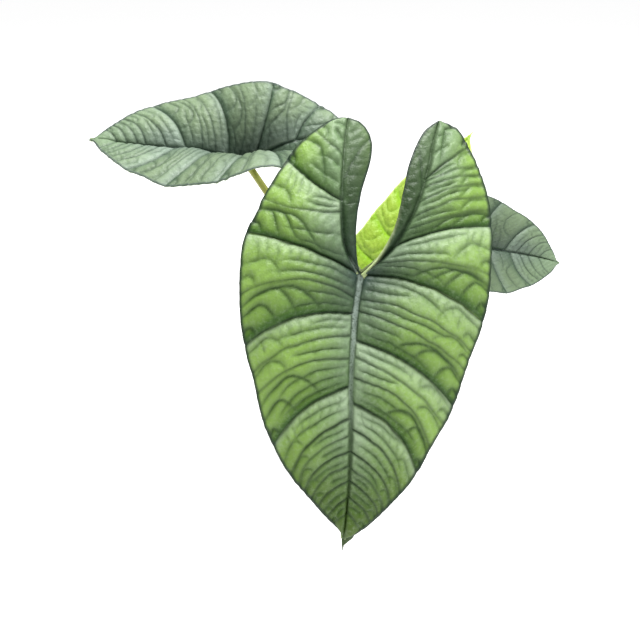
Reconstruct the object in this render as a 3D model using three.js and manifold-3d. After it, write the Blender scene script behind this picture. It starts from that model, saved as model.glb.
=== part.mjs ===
// A potted alocasia with silvery quilted leaves: three grown leaves and a young one, on curved
// stalks that rise from a corm in a plain nursery pot. Millimetres, +Z up, the origin in the
// middle of the pot's base.
import * as THREE from "three";
import { mergeVertices } from "three/addons/utils/BufferGeometryUtils.js";
import Module from "manifold-3d";

const wasm = await Module();
wasm.setup();

// Clearance between touching pieces
const GAP = 0.35;

// Pot
const POT_HEIGHT = 125;
const POT_BASE_RADIUS = 50;
const POT_SHOULDER_RADIUS = 67.5;
const POT_SHOULDER_Z = 112;
const POT_RIM_RADIUS = 71.5;
const POT_WALL = 1.8;
const POT_FLOOR = 2.6;
const DRAIN_HOLES = 8;
const DRAIN_RADIUS = 5;
const DRAIN_RING_RADIUS = 36;

// Potting mix and corm
const SOIL_TOP = 111;
const SOIL_LUMP = 1.6;
const CORM_RADIUS = 16.5;
const CORM_FOOT_Z = 72;
const CORM_TOP_Z = 106;
const SOIL_HOLE_RADIUS = CORM_RADIUS + GAP;

// Stalks
const STALK_SEAT_Z = 98;
const STALK_RING_RADIUS = 9.6;
const STALK_RADIUS = 6;
const STALK_TOP_RADIUS = 3.4;
const SHEATH_HALF_DEPTH = 2.7;
const SHEATH_HALF_WIDTH = 8.6;
const SHEATH_SHARE = 0.32;
const YOUNG_STALK_RADIUS = 4.8;
const YOUNG_STALK_TOP_RADIUS = 2.8;
const STALK_SIDES = 14;
const STALK_STEPS = 22;

// Blades
const BLADE_THICKNESS = 1.0;
const MIDRIB_LENGTH = 216;
const LOBE_LENGTH = 126;
const HALF_REACH = 100;
const MIDRIB_RIDGE = 3.0;
const LOBE_RIB_RIDGE = 2.2;
const QUILT_SHARE = 0.13;
const QUILT_LIMIT = 5;
const MIDRIB_STEP = 0.05;
const LOBE_STEP = 0.13;
const OUTER_COLUMNS = [0, 0.07, 0.22, 0.41, 0.6, 0.8, 1];
const INNER_COLUMNS = [0, 0.14, 0.5, 1];

// One half of a grown leaf, seen on its upper face with the tip down. u runs across and v along
// the midrib, from the stalk at 0, 0 to the tip. The outer margin runs from the lobe's end to the
// tip, the inner margin from the lobe's end to the stalk, and the rib from the stalk to the lobe's
// end. A vein leaves the midrib (0 to 1) or the rib (0 to -1) at its first value, reaches the
// outer margin at its second and bows toward the lobes by its third.
const MIDRIB = [[0, 0], [-2.5, 30], [-3, 75], [0, 125], [1.5, 170], [0, MIDRIB_LENGTH]];
const LEFT_HALF = {
  side: -1,
  outer: [
    [-19, -125.5], [-34, -120], [-56, -100], [-75, -67], [-92, -31], [-98, 5], [-94, 40],
    [-85, 76], [-71, 121], [-48, 161], [-22, 190], [-4, 207], [0, MIDRIB_LENGTH],
  ],
  inner: [
    [-19, -125.5], [-6, -121], [2, -108], [2, -90], [-4, -64], [-6.5, -38], [-4.5, -14], [0, 0],
  ],
  rib: [[0, 0], [-9, -11], [-16, -27], [-19.5, -58], [-20, -92], [-19, -125.5]],
  veins: [
    [-0.47, 0.155, -0.05], [0, 0.321, 0.04], [0.144, 0.543, 0.113], [0.408, 0.753, 0.116],
    [0.527, 0.832, 0.144], [0.65, 0.862, 0.17], [0.763, 0.9, 0.09],
  ],
};
const RIGHT_HALF = {
  side: 1,
  outer: [
    [56, -129], [72, -122], [85, -102], [97, -70], [102, -30], [102, 8], [93, 55], [83, 90],
    [72, 120], [51, 159], [27, 192], [7, 208], [0, MIDRIB_LENGTH],
  ],
  inner: [[56, -129], [43, -116], [33, -90], [29, -66], [24, -38], [13, -15], [0, 0]],
  rib: [[0, 0], [14, -11.5], [27, -27], [40, -55], [48, -85], [51, -106], [56, -129]],
  veins: [
    [-0.7, 0.073, 0.036], [-0.233, 0.259, 0.045], [0, 0.452, 0.093], [0.238, 0.632, 0.092],
    [0.468, 0.789, 0.138], [0.567, 0.85, 0.16], [0.763, 0.905, 0.13],
  ],
};

// Each leaf: where the stalk meets it, the way its tip points and its upper face looks, its size
// against the template, and its form in degrees. rise is a half's angle by the midrib and edge
// its angle at the margin, cup adds to both round cupCentre on the midrib and dies out over
// cupReach toward the tip and toward the lobes.
const LEAVES = {
  front: {
    halves: [LEFT_HALF, RIGHT_HALF],
    junction: [0, -129, 287],
    tipWay: [-0.063, -0.499, -0.864],
    upWay: [0, -0.866, 0.5],
    scale: 1.02,
    wide: [0.985, 1],
    lobeWide: [1, 1],
    lobeLong: 1,
    rise: [6, 6],
    edge: [-22, -22],
    cup: [[10, 5], [10, 5]],
    cupCentre: [0, 0],
    cupReach: [80, 100],
    funnel: 7,
    tipBend: 14,
    lobeBend: 16,
  },
  left: {
    halves: [LEFT_HALF, RIGHT_HALF],
    junction: [-103, 57.5, 320.8],
    tipWay: [-0.944, 0.016, 0.03],
    upWay: [0, -0.108, 1],
    scale: 0.755,
    wide: [0.96, 1.12],
    lobeWide: [1.08, 0.7],
    lobeLong: 1.08,
    rise: [53, -1.5],
    edge: [-5, -30],
    cup: [[21, 47], [36, 24]],
    cupCentre: [-24, -32],
    cupReach: [104, 82],
    funnel: 17.5,
    tipBend: -5,
    lobeBend: -4.5,
  },
  right: {
    halves: [mirrored(RIGHT_HALF), mirrored(LEFT_HALF)],
    junction: [127.7, 89.8, 221.9],
    tipWay: [0.986, 0.035, -0.217],
    upWay: [0.048, -1.236, 1],
    scale: 0.58,
    wide: [1.11, 0.99],
    lobeWide: [0.6, 0.9],
    lobeLong: 0.7,
    rise: [2, 27],
    edge: [5, -10],
    cup: [[30, 8], [11, 13]],
    cupCentre: [12, 3],
    cupReach: [70, 100],
    funnel: 3.8,
    tipBend: 11,
    lobeBend: 50,
  },
  young: {
    halves: [mirrored(RIGHT_HALF), RIGHT_HALF],
    junction: [28, -6, 210],
    tipWay: [0.475, 0.285, 0.832],
    upWay: [-0.3, -0.8, 0.3],
    scale: 0.83,
    wide: [0.61, 0.61],
    lobeWide: [0.8, 0.8],
    lobeLong: 0.45,
    rise: [8, 8],
    edge: [-15, -15],
    cup: [[14, 5], [14, 5]],
    cupCentre: [0, 0],
    cupReach: [80, 100],
    funnel: 4,
    tipBend: 14,
    lobeBend: 10,
  },
};
const FUNNEL_RADIUS = 47;

// Each stalk: the angle of its base round the corm, its two middle control points, and the way it
// points where it meets the blade, with how long that last stretch runs.
const STALKS = {
  front: { baseAngle: -90, rise: [0, -18, 185], arrival: [0, -0.81, 0.58], reach: 80 },
  left: { baseAngle: 155, rise: [-15, 6, 190], arrival: [-0.57, 0.36, 0.74], reach: 110 },
  right: { baseAngle: 38, rise: [14, 12, 165], arrival: [0.45, -0.1, 0.88], reach: 70 },
  young: { rise: [2, 1, 145], arrival: [0.42, -0.16, 0.89], reach: 45 },
};

// Finishes
const leafFinish = new THREE.MeshStandardMaterial({ color: 0x8fae6e, roughness: 0.45 });
const youngFinish = new THREE.MeshStandardMaterial({ color: 0xa5cc35, roughness: 0.4 });
const stalkFinish = new THREE.MeshStandardMaterial({ color: 0x9c9a2c, roughness: 0.45 });
const cormFinish = new THREE.MeshStandardMaterial({ color: 0x6b4a2c, roughness: 0.85 });
const soilFinish = new THREE.MeshStandardMaterial({ color: 0x33241a, roughness: 0.95 });
const potFinish = new THREE.MeshStandardMaterial({ color: 0x2b2d2e, roughness: 0.7 });

function mirrored(half) {
  const flip = (points) => points.map(([u, v]) => [-u, v]);
  return {
    side: -half.side,
    outer: flip(half.outer),
    inner: flip(half.inner),
    rib: flip(half.rib),
    veins: half.veins,
  };
}

function curveThrough(points) {
  return new THREE.SplineCurve(points.map(([u, v]) => new THREE.Vector2(u, v)));
}

function geometryOf(solid) {
  const mesh = solid.getMesh();
  const geometry = new THREE.BufferGeometry();
  geometry.setAttribute("position", new THREE.BufferAttribute(mesh.vertProperties, 3));
  geometry.setIndex(new THREE.BufferAttribute(mesh.triVerts, 1));
  return geometry;
}

function solidOf(geometry) {
  const bare = geometry.clone();
  bare.deleteAttribute("normal");
  bare.deleteAttribute("uv");
  const merged = mergeVertices(bare, 1e-4);
  return new wasm.Manifold(new wasm.Mesh({
    numProp: 3,
    vertProperties: merged.attributes.position.array,
    triVerts: new Uint32Array(merged.index.array),
  }));
}

function largestBody(solid) {
  return solid.decompose().reduce((a, b) => (b.volume() > a.volume() ? b : a));
}

// Turns a radius and height profile round Z.
function turned(profile, segments) {
  const points = profile.map(([radius, z]) => new THREE.Vector2(radius, z));
  return new THREE.LatheGeometry(points, segments).rotateX(Math.PI / 2);
}

function potGeometry() {
  const inner = (radius) => radius - POT_WALL;
  const shell = solidOf(turned([
    [0, 0],
    [POT_BASE_RADIUS - 1.5, 0],
    [POT_BASE_RADIUS, 1.5],
    [POT_SHOULDER_RADIUS, POT_SHOULDER_Z],
    [POT_RIM_RADIUS - 1, POT_SHOULDER_Z + 1],
    [POT_RIM_RADIUS, POT_HEIGHT - 1.2],
    [POT_RIM_RADIUS - 0.8, POT_HEIGHT],
    [POT_RIM_RADIUS - 2, POT_HEIGHT],
    [POT_RIM_RADIUS - 2.6, POT_HEIGHT - 1.2],
    [inner(POT_SHOULDER_RADIUS) + 1, POT_SHOULDER_Z + 1.5],
    [inner(POT_SHOULDER_RADIUS), POT_SHOULDER_Z - 1],
    [inner(POT_BASE_RADIUS), POT_FLOOR],
    [0, POT_FLOOR],
  ], 48));
  let pot = shell;
  for (let k = 0; k < DRAIN_HOLES; k++) {
    const angle = (2 * Math.PI * k) / DRAIN_HOLES;
    const hole = new THREE.CylinderGeometry(DRAIN_RADIUS, DRAIN_RADIUS, 4 * POT_FLOOR, 16);
    hole.rotateX(Math.PI / 2);
    hole.translate(DRAIN_RING_RADIUS * Math.cos(angle), DRAIN_RING_RADIUS * Math.sin(angle), 0);
    pot = pot.subtract(solidOf(hole));
  }
  return geometryOf(pot);
}

// The mix fills the pot to a lumpy top, with a plain round hole for the corm and stalks.
function soilGeometry() {
  const wallAt = (z) => {
    const share = (z - POT_FLOOR) / (POT_SHOULDER_Z - 1 - POT_FLOOR);
    return THREE.MathUtils.lerp(POT_BASE_RADIUS, POT_SHOULDER_RADIUS, share) - POT_WALL - GAP;
  };
  const foot = POT_FLOOR + GAP;
  const floorOfHole = CORM_FOOT_Z - GAP;
  const rim = wallAt(SOIL_TOP - 4);
  const profile = [
    [0, foot],
    [wallAt(foot), foot],
    [rim, SOIL_TOP - 4],
    [rim - 2, SOIL_TOP - 1],
  ];
  for (const share of [0.8, 0.6, 0.4, 0.2]) {
    profile.push([THREE.MathUtils.lerp(SOIL_HOLE_RADIUS, rim, share), SOIL_TOP]);
  }
  profile.push([SOIL_HOLE_RADIUS, SOIL_TOP], [SOIL_HOLE_RADIUS, floorOfHole], [0, floorOfHole]);
  const geometry = turned(profile, 40);
  const position = geometry.attributes.position;
  for (let i = 0; i < position.count; i++) {
    const [x, y, z] = [position.getX(i), position.getY(i), position.getZ(i)];
    if (z > SOIL_TOP - 2) {
      const lump = Math.sin(x / 7 + 1) * Math.cos(y / 6) + 0.6 * Math.sin(x / 3.1 - y / 4.3);
      position.setZ(i, z + SOIL_LUMP * lump);
    }
  }
  return geometry;
}

// A squat corm with a rounded shoulder. Grown by margin, it cuts its seat in the stalks.
function cormGeometry(margin = 0) {
  const r = CORM_RADIUS + margin;
  const top = CORM_TOP_Z + margin;
  const foot = CORM_FOOT_Z - margin;
  return turned([
    [0, foot], [0.55 * r, foot], [0.9 * r, foot + 7], [r, foot + 16], [0.96 * r, top - 10],
    [0.8 * r, top - 5.5], [0.5 * r, top - 4.2], [0, top - 4],
  ], 32);
}

// Arc of a half leaf: it leaves the midrib at angle start and has turned to angle end at
// HALF_REACH. Gives how far a point at distance x gets sideways and up.
function rolled(x, start, end) {
  const turn = (start - end) / HALF_REACH || 1e-6;
  const there = start - turn * x;
  return [
    (Math.sin(start) - Math.sin(there)) / turn,
    (Math.cos(there) - Math.cos(start)) / turn,
  ];
}

// Leaf coordinates to a place in the world.
function placer(leaf) {
  const along = new THREE.Vector3(...leaf.tipWay).normalize();
  const up = new THREE.Vector3(...leaf.upWay);
  up.addScaledVector(along, -up.dot(along)).normalize();
  const across = new THREE.Vector3().crossVectors(up, along);
  const midrib = curveThrough(MIDRIB).getSpacedPoints(60);
  const midribAt = (v) => {
    if (v <= 0) return 0;
    const i = Math.max(1, midrib.findIndex((p) => p.y >= v - 1e-9));
    const [a, b] = [midrib[i - 1], midrib[i]];
    return a.x + ((b.x - a.x) * (v - a.y)) / (b.y - a.y);
  };
  const tipCurl = THREE.MathUtils.degToRad(leaf.tipBend) / MIDRIB_LENGTH;
  const lobeCurl = THREE.MathUtils.degToRad(leaf.lobeBend) / LOBE_LENGTH;
  return (u, v, half) => {
    const which = leaf.halves.indexOf(half);
    const inLobe = Math.min(Math.max(-v / LOBE_LENGTH, 0), 1);
    const width = leaf.wide[which] * (1 + (leaf.lobeWide[which] - 1) * inLobe);
    const run = v < 0 ? v * leaf.lobeLong : v;
    const spine = midribAt(v);
    const x = half.side * (u - spine) * width;
    const past = run - leaf.cupCentre[which];
    const cup = Math.exp(-((past / leaf.cupReach[past < 0 ? 1 : 0]) ** 2));
    const start = THREE.MathUtils.degToRad(leaf.rise[which] + leaf.cup[which][0] * cup);
    const end = THREE.MathUtils.degToRad(leaf.edge[which] + leaf.cup[which][1] * cup);
    const [sideways, rise] = rolled(x, start, end);
    const nearStalk = Math.exp(-(x * x + run * run) / FUNNEL_RADIUS ** 2);
    const height = rise + leaf.funnel * (1 - nearStalk);
    const curl = run < 0 ? lobeCurl : tipCurl;
    const angle = curl * run;
    return new THREE.Vector3(...leaf.junction)
      .addScaledVector(across, leaf.scale * (spine + half.side * sideways))
      .addScaledVector(along, leaf.scale * (Math.sin(angle) / curl + height * Math.sin(angle)))
      .addScaledVector(up, leaf.scale * ((Math.cos(angle) - 1) / curl + height * Math.cos(angle)));
  };
}

// Values of the rows along the spine: every vein foot, with even steps between.
function stations(feet, step) {
  const rows = [];
  feet.slice(1).forEach((next, i) => {
    const count = Math.max(1, Math.round((next - feet[i]) / step));
    for (let k = 0; k < count; k++) rows.push(feet[i] + ((next - feet[i]) * k) / count);
  });
  return [...rows, feet.at(-1)];
}

// Where a row at spine value q sits among a half's veins: its share of the outer margin, its bow,
// and its place between two veins from 0 to 1.
function between(half, q) {
  const veins = [[-1, 0, 0], ...half.veins, [1, 1, 0]];
  const i = Math.max(1, veins.findIndex((vein) => vein[0] >= q - 1e-9));
  const [a, b] = [veins[i - 1], veins[i]];
  const place = (q - a[0]) / (b[0] - a[0]);
  const mix = (k) => a[k] + (b[k] - a[k]) * place;
  return { margin: mix(1), bow: mix(2), place, from: a, to: b };
}

// A point of a row from the spine to the outer margin, at share s.
function rowPoint(spine, edge, bow, s) {
  const chord = edge.clone().sub(spine);
  const normal = new THREE.Vector2(-chord.y, chord.x);
  if (normal.y > 0) normal.negate();
  return spine.clone().addScaledVector(chord, s).addScaledVector(normal, bow * 4 * s * (1 - s));
}

// The middle surface of a blade: vertices with a ridge height for the underside, and triangles.
function bladeSurface(leaf) {
  const place = placer(leaf);
  const midrib = curveThrough(MIDRIB);
  const vertices = [];
  const triangles = [];
  const seen = new Map();
  const vertex = (flat, half, quilt, ridge) => {
    const key = `${flat.x.toFixed(3)} ${flat.y.toFixed(3)}`;
    if (!seen.has(key)) {
      seen.set(key, vertices.length);
      vertices.push({ at: place(flat.x, flat.y, half), quilt: quilt * leaf.scale, ridge });
    }
    return seen.get(key);
  };
  const fill = (grid, turn) => {
    for (let i = 0; i + 1 < grid.length; i++) {
      for (let j = 0; j + 1 < grid[i].length; j++) {
        const [a, b, c, d] = [grid[i][j], grid[i][j + 1], grid[i + 1][j + 1], grid[i + 1][j]];
        for (const face of [[a, b, c], [a, c, d]]) {
          if (new Set(face).size === 3) triangles.push(turn > 0 ? face : face.reverse());
        }
      }
    }
  };
  const midribFeet = leaf.halves.flatMap((half) => half.veins.map((vein) => vein[0]));
  const midribRows = stations(
    [...new Set([0, ...midribFeet.filter((q) => q > 0), 1])].sort((a, b) => a - b), MIDRIB_STEP,
  );
  for (const half of leaf.halves) {
    const [outer, inner, rib] = [half.outer, half.inner, half.rib].map(curveThrough);
    const spineAt = (q) => (q < 0 ? rib.getPointAt(-q) : midrib.getPointAt(q));
    const lobeFeet = half.veins.map((vein) => vein[0]).filter((q) => q < 0);
    const lobeRows = stations([-1, ...lobeFeet, 0], LOBE_STEP).slice(0, -1);
    const rows = [...lobeRows, ...midribRows];
    const middle = ([q, margin, bow]) => {
      return rowPoint(spineAt(q), outer.getPointAt(margin), bow, 0.5);
    };
    const outerGrid = rows.map((q) => {
      const row = between(half, q);
      const spine = spineAt(q);
      const edge = outer.getPointAt(row.margin);
      const room = middle(row.from).distanceTo(middle(row.to));
      const swell = Math.min(QUILT_SHARE * room, QUILT_LIMIT)
        * (4 * row.place * (1 - row.place)) ** 0.7;
      const ridge = q < 0 ? LOBE_RIB_RIDGE * (1 + q) : MIDRIB_RIDGE * (1 - 0.8 * q);
      return OUTER_COLUMNS.map((s) => {
        const fade = (1 - Math.exp(-s / 0.08)) * (1 - 0.75 * s ** 4);
        const flat = rowPoint(spine, edge, row.bow, s);
        return vertex(flat, half, swell * fade, s === 0 ? ridge : 0);
      });
    });
    const innerGrid = rows.filter((q) => q <= 0).map((q) => {
      const spine = spineAt(q);
      const edge = inner.getPointAt(1 + q);
      const ridge = q < 0 ? LOBE_RIB_RIDGE * (1 + q) : MIDRIB_RIDGE;
      return INNER_COLUMNS.map((s) => {
        const flat = spine.clone().lerp(edge, s);
        return vertex(flat, half, 1.2 * Math.sin(Math.PI * s), s === 0 ? ridge : 0);
      });
    });
    fill(outerGrid, half.side);
    fill(innerGrid, -half.side);
  }
  return { vertices, triangles };
}

// Vertex normals of a surface, weighted by the area of the triangles round each vertex.
function normalsOf(points, triangles) {
  const normals = points.map(() => new THREE.Vector3());
  for (const [a, b, c] of triangles) {
    const first = points[b].clone().sub(points[a]);
    const face = first.cross(points[c].clone().sub(points[a]));
    for (const i of [a, b, c]) normals[i].add(face);
  }
  return normals.map((normal) => normal.normalize());
}

// The blade as a closed solid, with margin added on both faces.
function bladeGeometry(leaf, margin = 0) {
  const { vertices, triangles } = bladeSurface(leaf);
  const plain = vertices.map((vertex) => vertex.at);
  const plainNormals = normalsOf(plain, triangles);
  const swollen = vertices.map((vertex, i) => {
    return vertex.at.clone().addScaledVector(plainNormals[i], vertex.quilt);
  });
  const normals = normalsOf(swollen, triangles);
  const half = BLADE_THICKNESS / 2 + margin;
  const upper = swollen.map((point, i) => point.clone().addScaledVector(normals[i], half));
  const lower = swollen.map((point, i) => {
    return point.clone().addScaledVector(normals[i], -half - vertices[i].ridge * leaf.scale);
  });
  const count = upper.length;
  const faces = [];
  const edges = new Map();
  for (const [a, b, c] of triangles) {
    faces.push(a, b, c, count + c, count + b, count + a);
    for (const [from, to] of [[a, b], [b, c], [c, a]]) edges.set(`${from} ${to}`, [from, to]);
  }
  for (const [from, to] of edges.values()) {
    if (edges.has(`${to} ${from}`)) continue;
    faces.push(to, from, count + from, to, count + from, count + to);
  }
  const geometry = new THREE.BufferGeometry().setFromPoints([...upper, ...lower]);
  geometry.setIndex(faces);
  return geometry;
}

// A stalk carries its section along a curve. Its foot is a crescent that sheathes the younger
// stalks inside it, and it grows round and slim on the way up.
function stalkGeometry(name) {
  const stalk = STALKS[name];
  const leaf = LEAVES[name];
  const outermost = stalk.baseAngle !== undefined;
  const around = THREE.MathUtils.degToRad(stalk.baseAngle ?? 0);
  const ring = outermost ? STALK_RING_RADIUS : 0;
  const outward = new THREE.Vector3(Math.cos(around), Math.sin(around), 0);
  const foot = outward.clone().multiplyScalar(ring).setZ(STALK_SEAT_Z);
  const arrival = new THREE.Vector3(...stalk.arrival).normalize();
  const top = new THREE.Vector3(...leaf.junction)
    .addScaledVector(new THREE.Vector3(...leaf.tipWay).normalize(), 5 * leaf.scale);
  const route = new THREE.CubicBezierCurve3(
    foot,
    new THREE.Vector3(...stalk.rise),
    top.clone().addScaledVector(arrival, -stalk.reach),
    top,
  );
  const points = [];
  for (let i = 0; i <= STALK_STEPS; i++) {
    const share = i / STALK_STEPS;
    const centre = route.getPointAt(share);
    const tangent = route.getTangentAt(share);
    const depthWay = outward.clone().addScaledVector(tangent, -outward.dot(tangent)).normalize();
    const widthWay = new THREE.Vector3().crossVectors(tangent, depthWay);
    const round = outermost ? THREE.MathUtils.smoothstep(share, 0.02, SHEATH_SHARE) : 1;
    const thick = outermost ? STALK_RADIUS : YOUNG_STALK_RADIUS;
    const thin = outermost ? STALK_TOP_RADIUS : YOUNG_STALK_TOP_RADIUS;
    const radius = THREE.MathUtils.lerp(thick, thin, Math.sqrt(share));
    const depth = THREE.MathUtils.lerp(SHEATH_HALF_DEPTH, radius, round);
    const width = THREE.MathUtils.lerp(SHEATH_HALF_WIDTH, radius, round);
    const hug = (1 - round) / (2 * STALK_RING_RADIUS);
    for (let k = 0; k < STALK_SIDES; k++) {
      const angle = (2 * Math.PI * k) / STALK_SIDES;
      const sideways = width * Math.sin(angle);
      const outwards = depth * Math.cos(angle) - hug * sideways * sideways;
      points.push(
        centre.clone().addScaledVector(depthWay, outwards).addScaledVector(widthWay, sideways),
      );
    }
  }
  const firstCap = points.push(foot.clone()) - 1;
  const lastCap = points.push(top.clone()) - 1;
  const faces = [];
  for (let k = 0; k < STALK_SIDES; k++) {
    const next = (k + 1) % STALK_SIDES;
    for (let i = 0; i < STALK_STEPS; i++) {
      const [low, high] = [i * STALK_SIDES, (i + 1) * STALK_SIDES];
      faces.push(low + k, low + next, high + next, low + k, high + next, high + k);
    }
    const last = STALK_STEPS * STALK_SIDES;
    faces.push(firstCap, next, k, lastCap, last + k, last + next);
  }
  const geometry = new THREE.BufferGeometry().setFromPoints(points);
  geometry.setIndex(faces);
  return geometry;
}

// The stalk, cut to its seats under the blade and on the corm. The blade's second cut, a step
// toward the lobes, keeps the stalk clear of the blade's edge in the notch.
function seatedStalk(name) {
  const blade = bladeGeometry(LEAVES[name], GAP);
  const step = new THREE.Vector3(...LEAVES[name].tipWay).normalize().multiplyScalar(-2 * GAP);
  const cut = solidOf(stalkGeometry(name))
    .subtract(solidOf(blade))
    .subtract(solidOf(blade.clone().translate(step.x, step.y, step.z)))
    .subtract(solidOf(cormGeometry(GAP)));
  return geometryOf(largestBody(cut));
}

const plant = new THREE.Group();

function add(name, geometry, material) {
  const mesh = new THREE.Mesh(geometry, material.clone());
  mesh.name = name;
  plant.add(mesh);
}

add("pot", potGeometry(), potFinish);
add("soil", soilGeometry(), soilFinish);
add("corm", cormGeometry(), cormFinish);
for (const name of Object.keys(LEAVES)) {
  const finish = name === "young" ? youngFinish : leafFinish;
  add(`leaf_${name}`, bladeGeometry(LEAVES[name]), finish);
  add(`petiole_${name}`, seatedStalk(name), stalkFinish);
}

export default plant;
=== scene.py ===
import bpy
import numpy as np
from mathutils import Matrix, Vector


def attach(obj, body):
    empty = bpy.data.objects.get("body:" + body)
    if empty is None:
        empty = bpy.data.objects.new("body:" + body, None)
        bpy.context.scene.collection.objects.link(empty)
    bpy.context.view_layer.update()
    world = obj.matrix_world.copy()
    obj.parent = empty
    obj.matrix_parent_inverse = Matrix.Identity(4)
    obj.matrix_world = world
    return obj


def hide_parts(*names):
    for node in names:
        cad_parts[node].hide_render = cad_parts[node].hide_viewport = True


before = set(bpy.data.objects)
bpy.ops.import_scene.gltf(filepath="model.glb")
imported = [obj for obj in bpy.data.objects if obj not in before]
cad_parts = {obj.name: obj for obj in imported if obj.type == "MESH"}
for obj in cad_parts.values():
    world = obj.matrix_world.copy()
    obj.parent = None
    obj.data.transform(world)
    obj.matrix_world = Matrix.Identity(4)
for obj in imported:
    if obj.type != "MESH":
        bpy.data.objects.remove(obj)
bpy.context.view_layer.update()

MM = 0.001

# One half of a grown leaf, seen on its upper face with the tip down: u across, v along the
# midrib from the stalk at 0, 0 to the tip. A vein leaves the midrib (0 to 1) or the lobe's rib
# (0 to -1) at its first value, reaches the outer margin at its second, bows toward the lobes by
# its third and is as strong as its fourth.
MIDRIB_LENGTH = 216
LOBE_LENGTH = 126
HALF_REACH = 100
FUNNEL_RADIUS = 47
MIDRIB = [(0, 0), (-2.5, 30), (-3, 75), (0, 125), (1.5, 170), (0, MIDRIB_LENGTH)]
LEFT_HALF = {
    "side": -1,
    "outer": [
        (-19, -125.5), (-34, -120), (-56, -100), (-75, -67), (-92, -31), (-98, 5), (-94, 40),
        (-85, 76), (-71, 121), (-48, 161), (-22, 190), (-4, 207), (0, MIDRIB_LENGTH),
    ],
    "inner": [
        (-19, -125.5), (-6, -121), (2, -108), (2, -90), (-4, -64), (-6.5, -38), (-4.5, -14),
        (0, 0),
    ],
    "rib": [(0, 0), (-9, -11), (-16, -27), (-19.5, -58), (-20, -92), (-19, -125.5)],
    "veins": [
        (-.72, .075, 0, .3), (-.47, .155, -.05, 1), (-.40, .247, -.09, .4),
        (0, .321, .04, 1), (.09, .443, .14, .4), (.144, .543, .113, 1),
        (.225, .60, .115, .4), (.307, .645, .139, .4), (.408, .753, .116, 1),
        (.527, .825, .144, .75), (.59, .848, .17, .3), (.65, .868, .17, .65),
        (.705, .889, .16, .5), (.763, .911, .15, .55), (.83, .937, .11, .5), (.89, .958, .08, .3),
    ],
}
RIGHT_HALF = {
    "side": 1,
    "outer": [
        (56, -129), (72, -122), (85, -102), (97, -70), (102, -30), (102, 8), (93, 55),
        (83, 90), (72, 120), (51, 159), (27, 192), (7, 208), (0, MIDRIB_LENGTH),
    ],
    "inner": [(56, -129), (43, -116), (33, -90), (29, -66), (24, -38), (13, -15), (0, 0)],
    "rib": [(0, 0), (14, -11.5), (27, -27), (40, -55), (48, -85), (51, -106), (56, -129)],
    "veins": [
        (-.63, .085, .01, .9), (-.61, .13, .02, .35), (-.57, .15, .03, .4), (-.49, .172, .04, .4),
        (-.39, .198, .045, .4), (-.31, .228, .045, .35), (-.233, .259, .045, 1),
        (-.10, .357, .05, .35),
        (0, .452, .093, 1), (.09, .515, .085, .4), (.133, .556, .07, .4),
        (.238, .632, .092, 1), (.296, .675, .085, .4), (.374, .735, .17, .4),
        (.468, .789, .138, 1), (.567, .845, .16, .75), (.65, .873, .14, .65),
        (.71, .893, .13, .35), (.763, .911, .13, .6), (.82, .932, .1, .5), (.885, .956, .08, .3),
    ],
}

# The front leaf's right half is fuller by the tip.
FULL_OUTER = [*RIGHT_HALF["outer"][:-4], (52, 159), (28.5, 192), (12, 208), (0, MIDRIB_LENGTH)]

# The young leaf's veins stand more square to its midrib.
YOUNG_VEINS = [
    (-.55, .12, 0, .3), (-.2, .26, .04, .5), (0, .37, .05, 1), (.14, .47, .06, 1),
    (.28, .58, .07, 1), (.42, .69, .08, 1), (.57, .79, .1, .6), (.72, .87, .1, .5),
]


def mirrored(half):
    """The same half with u turned over."""
    turned = {key: [(-u, v) for u, v in half[key]] for key in ("outer", "inner", "rib")}
    return {**turned, "side": -half["side"], "veins": half["veins"]}


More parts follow.
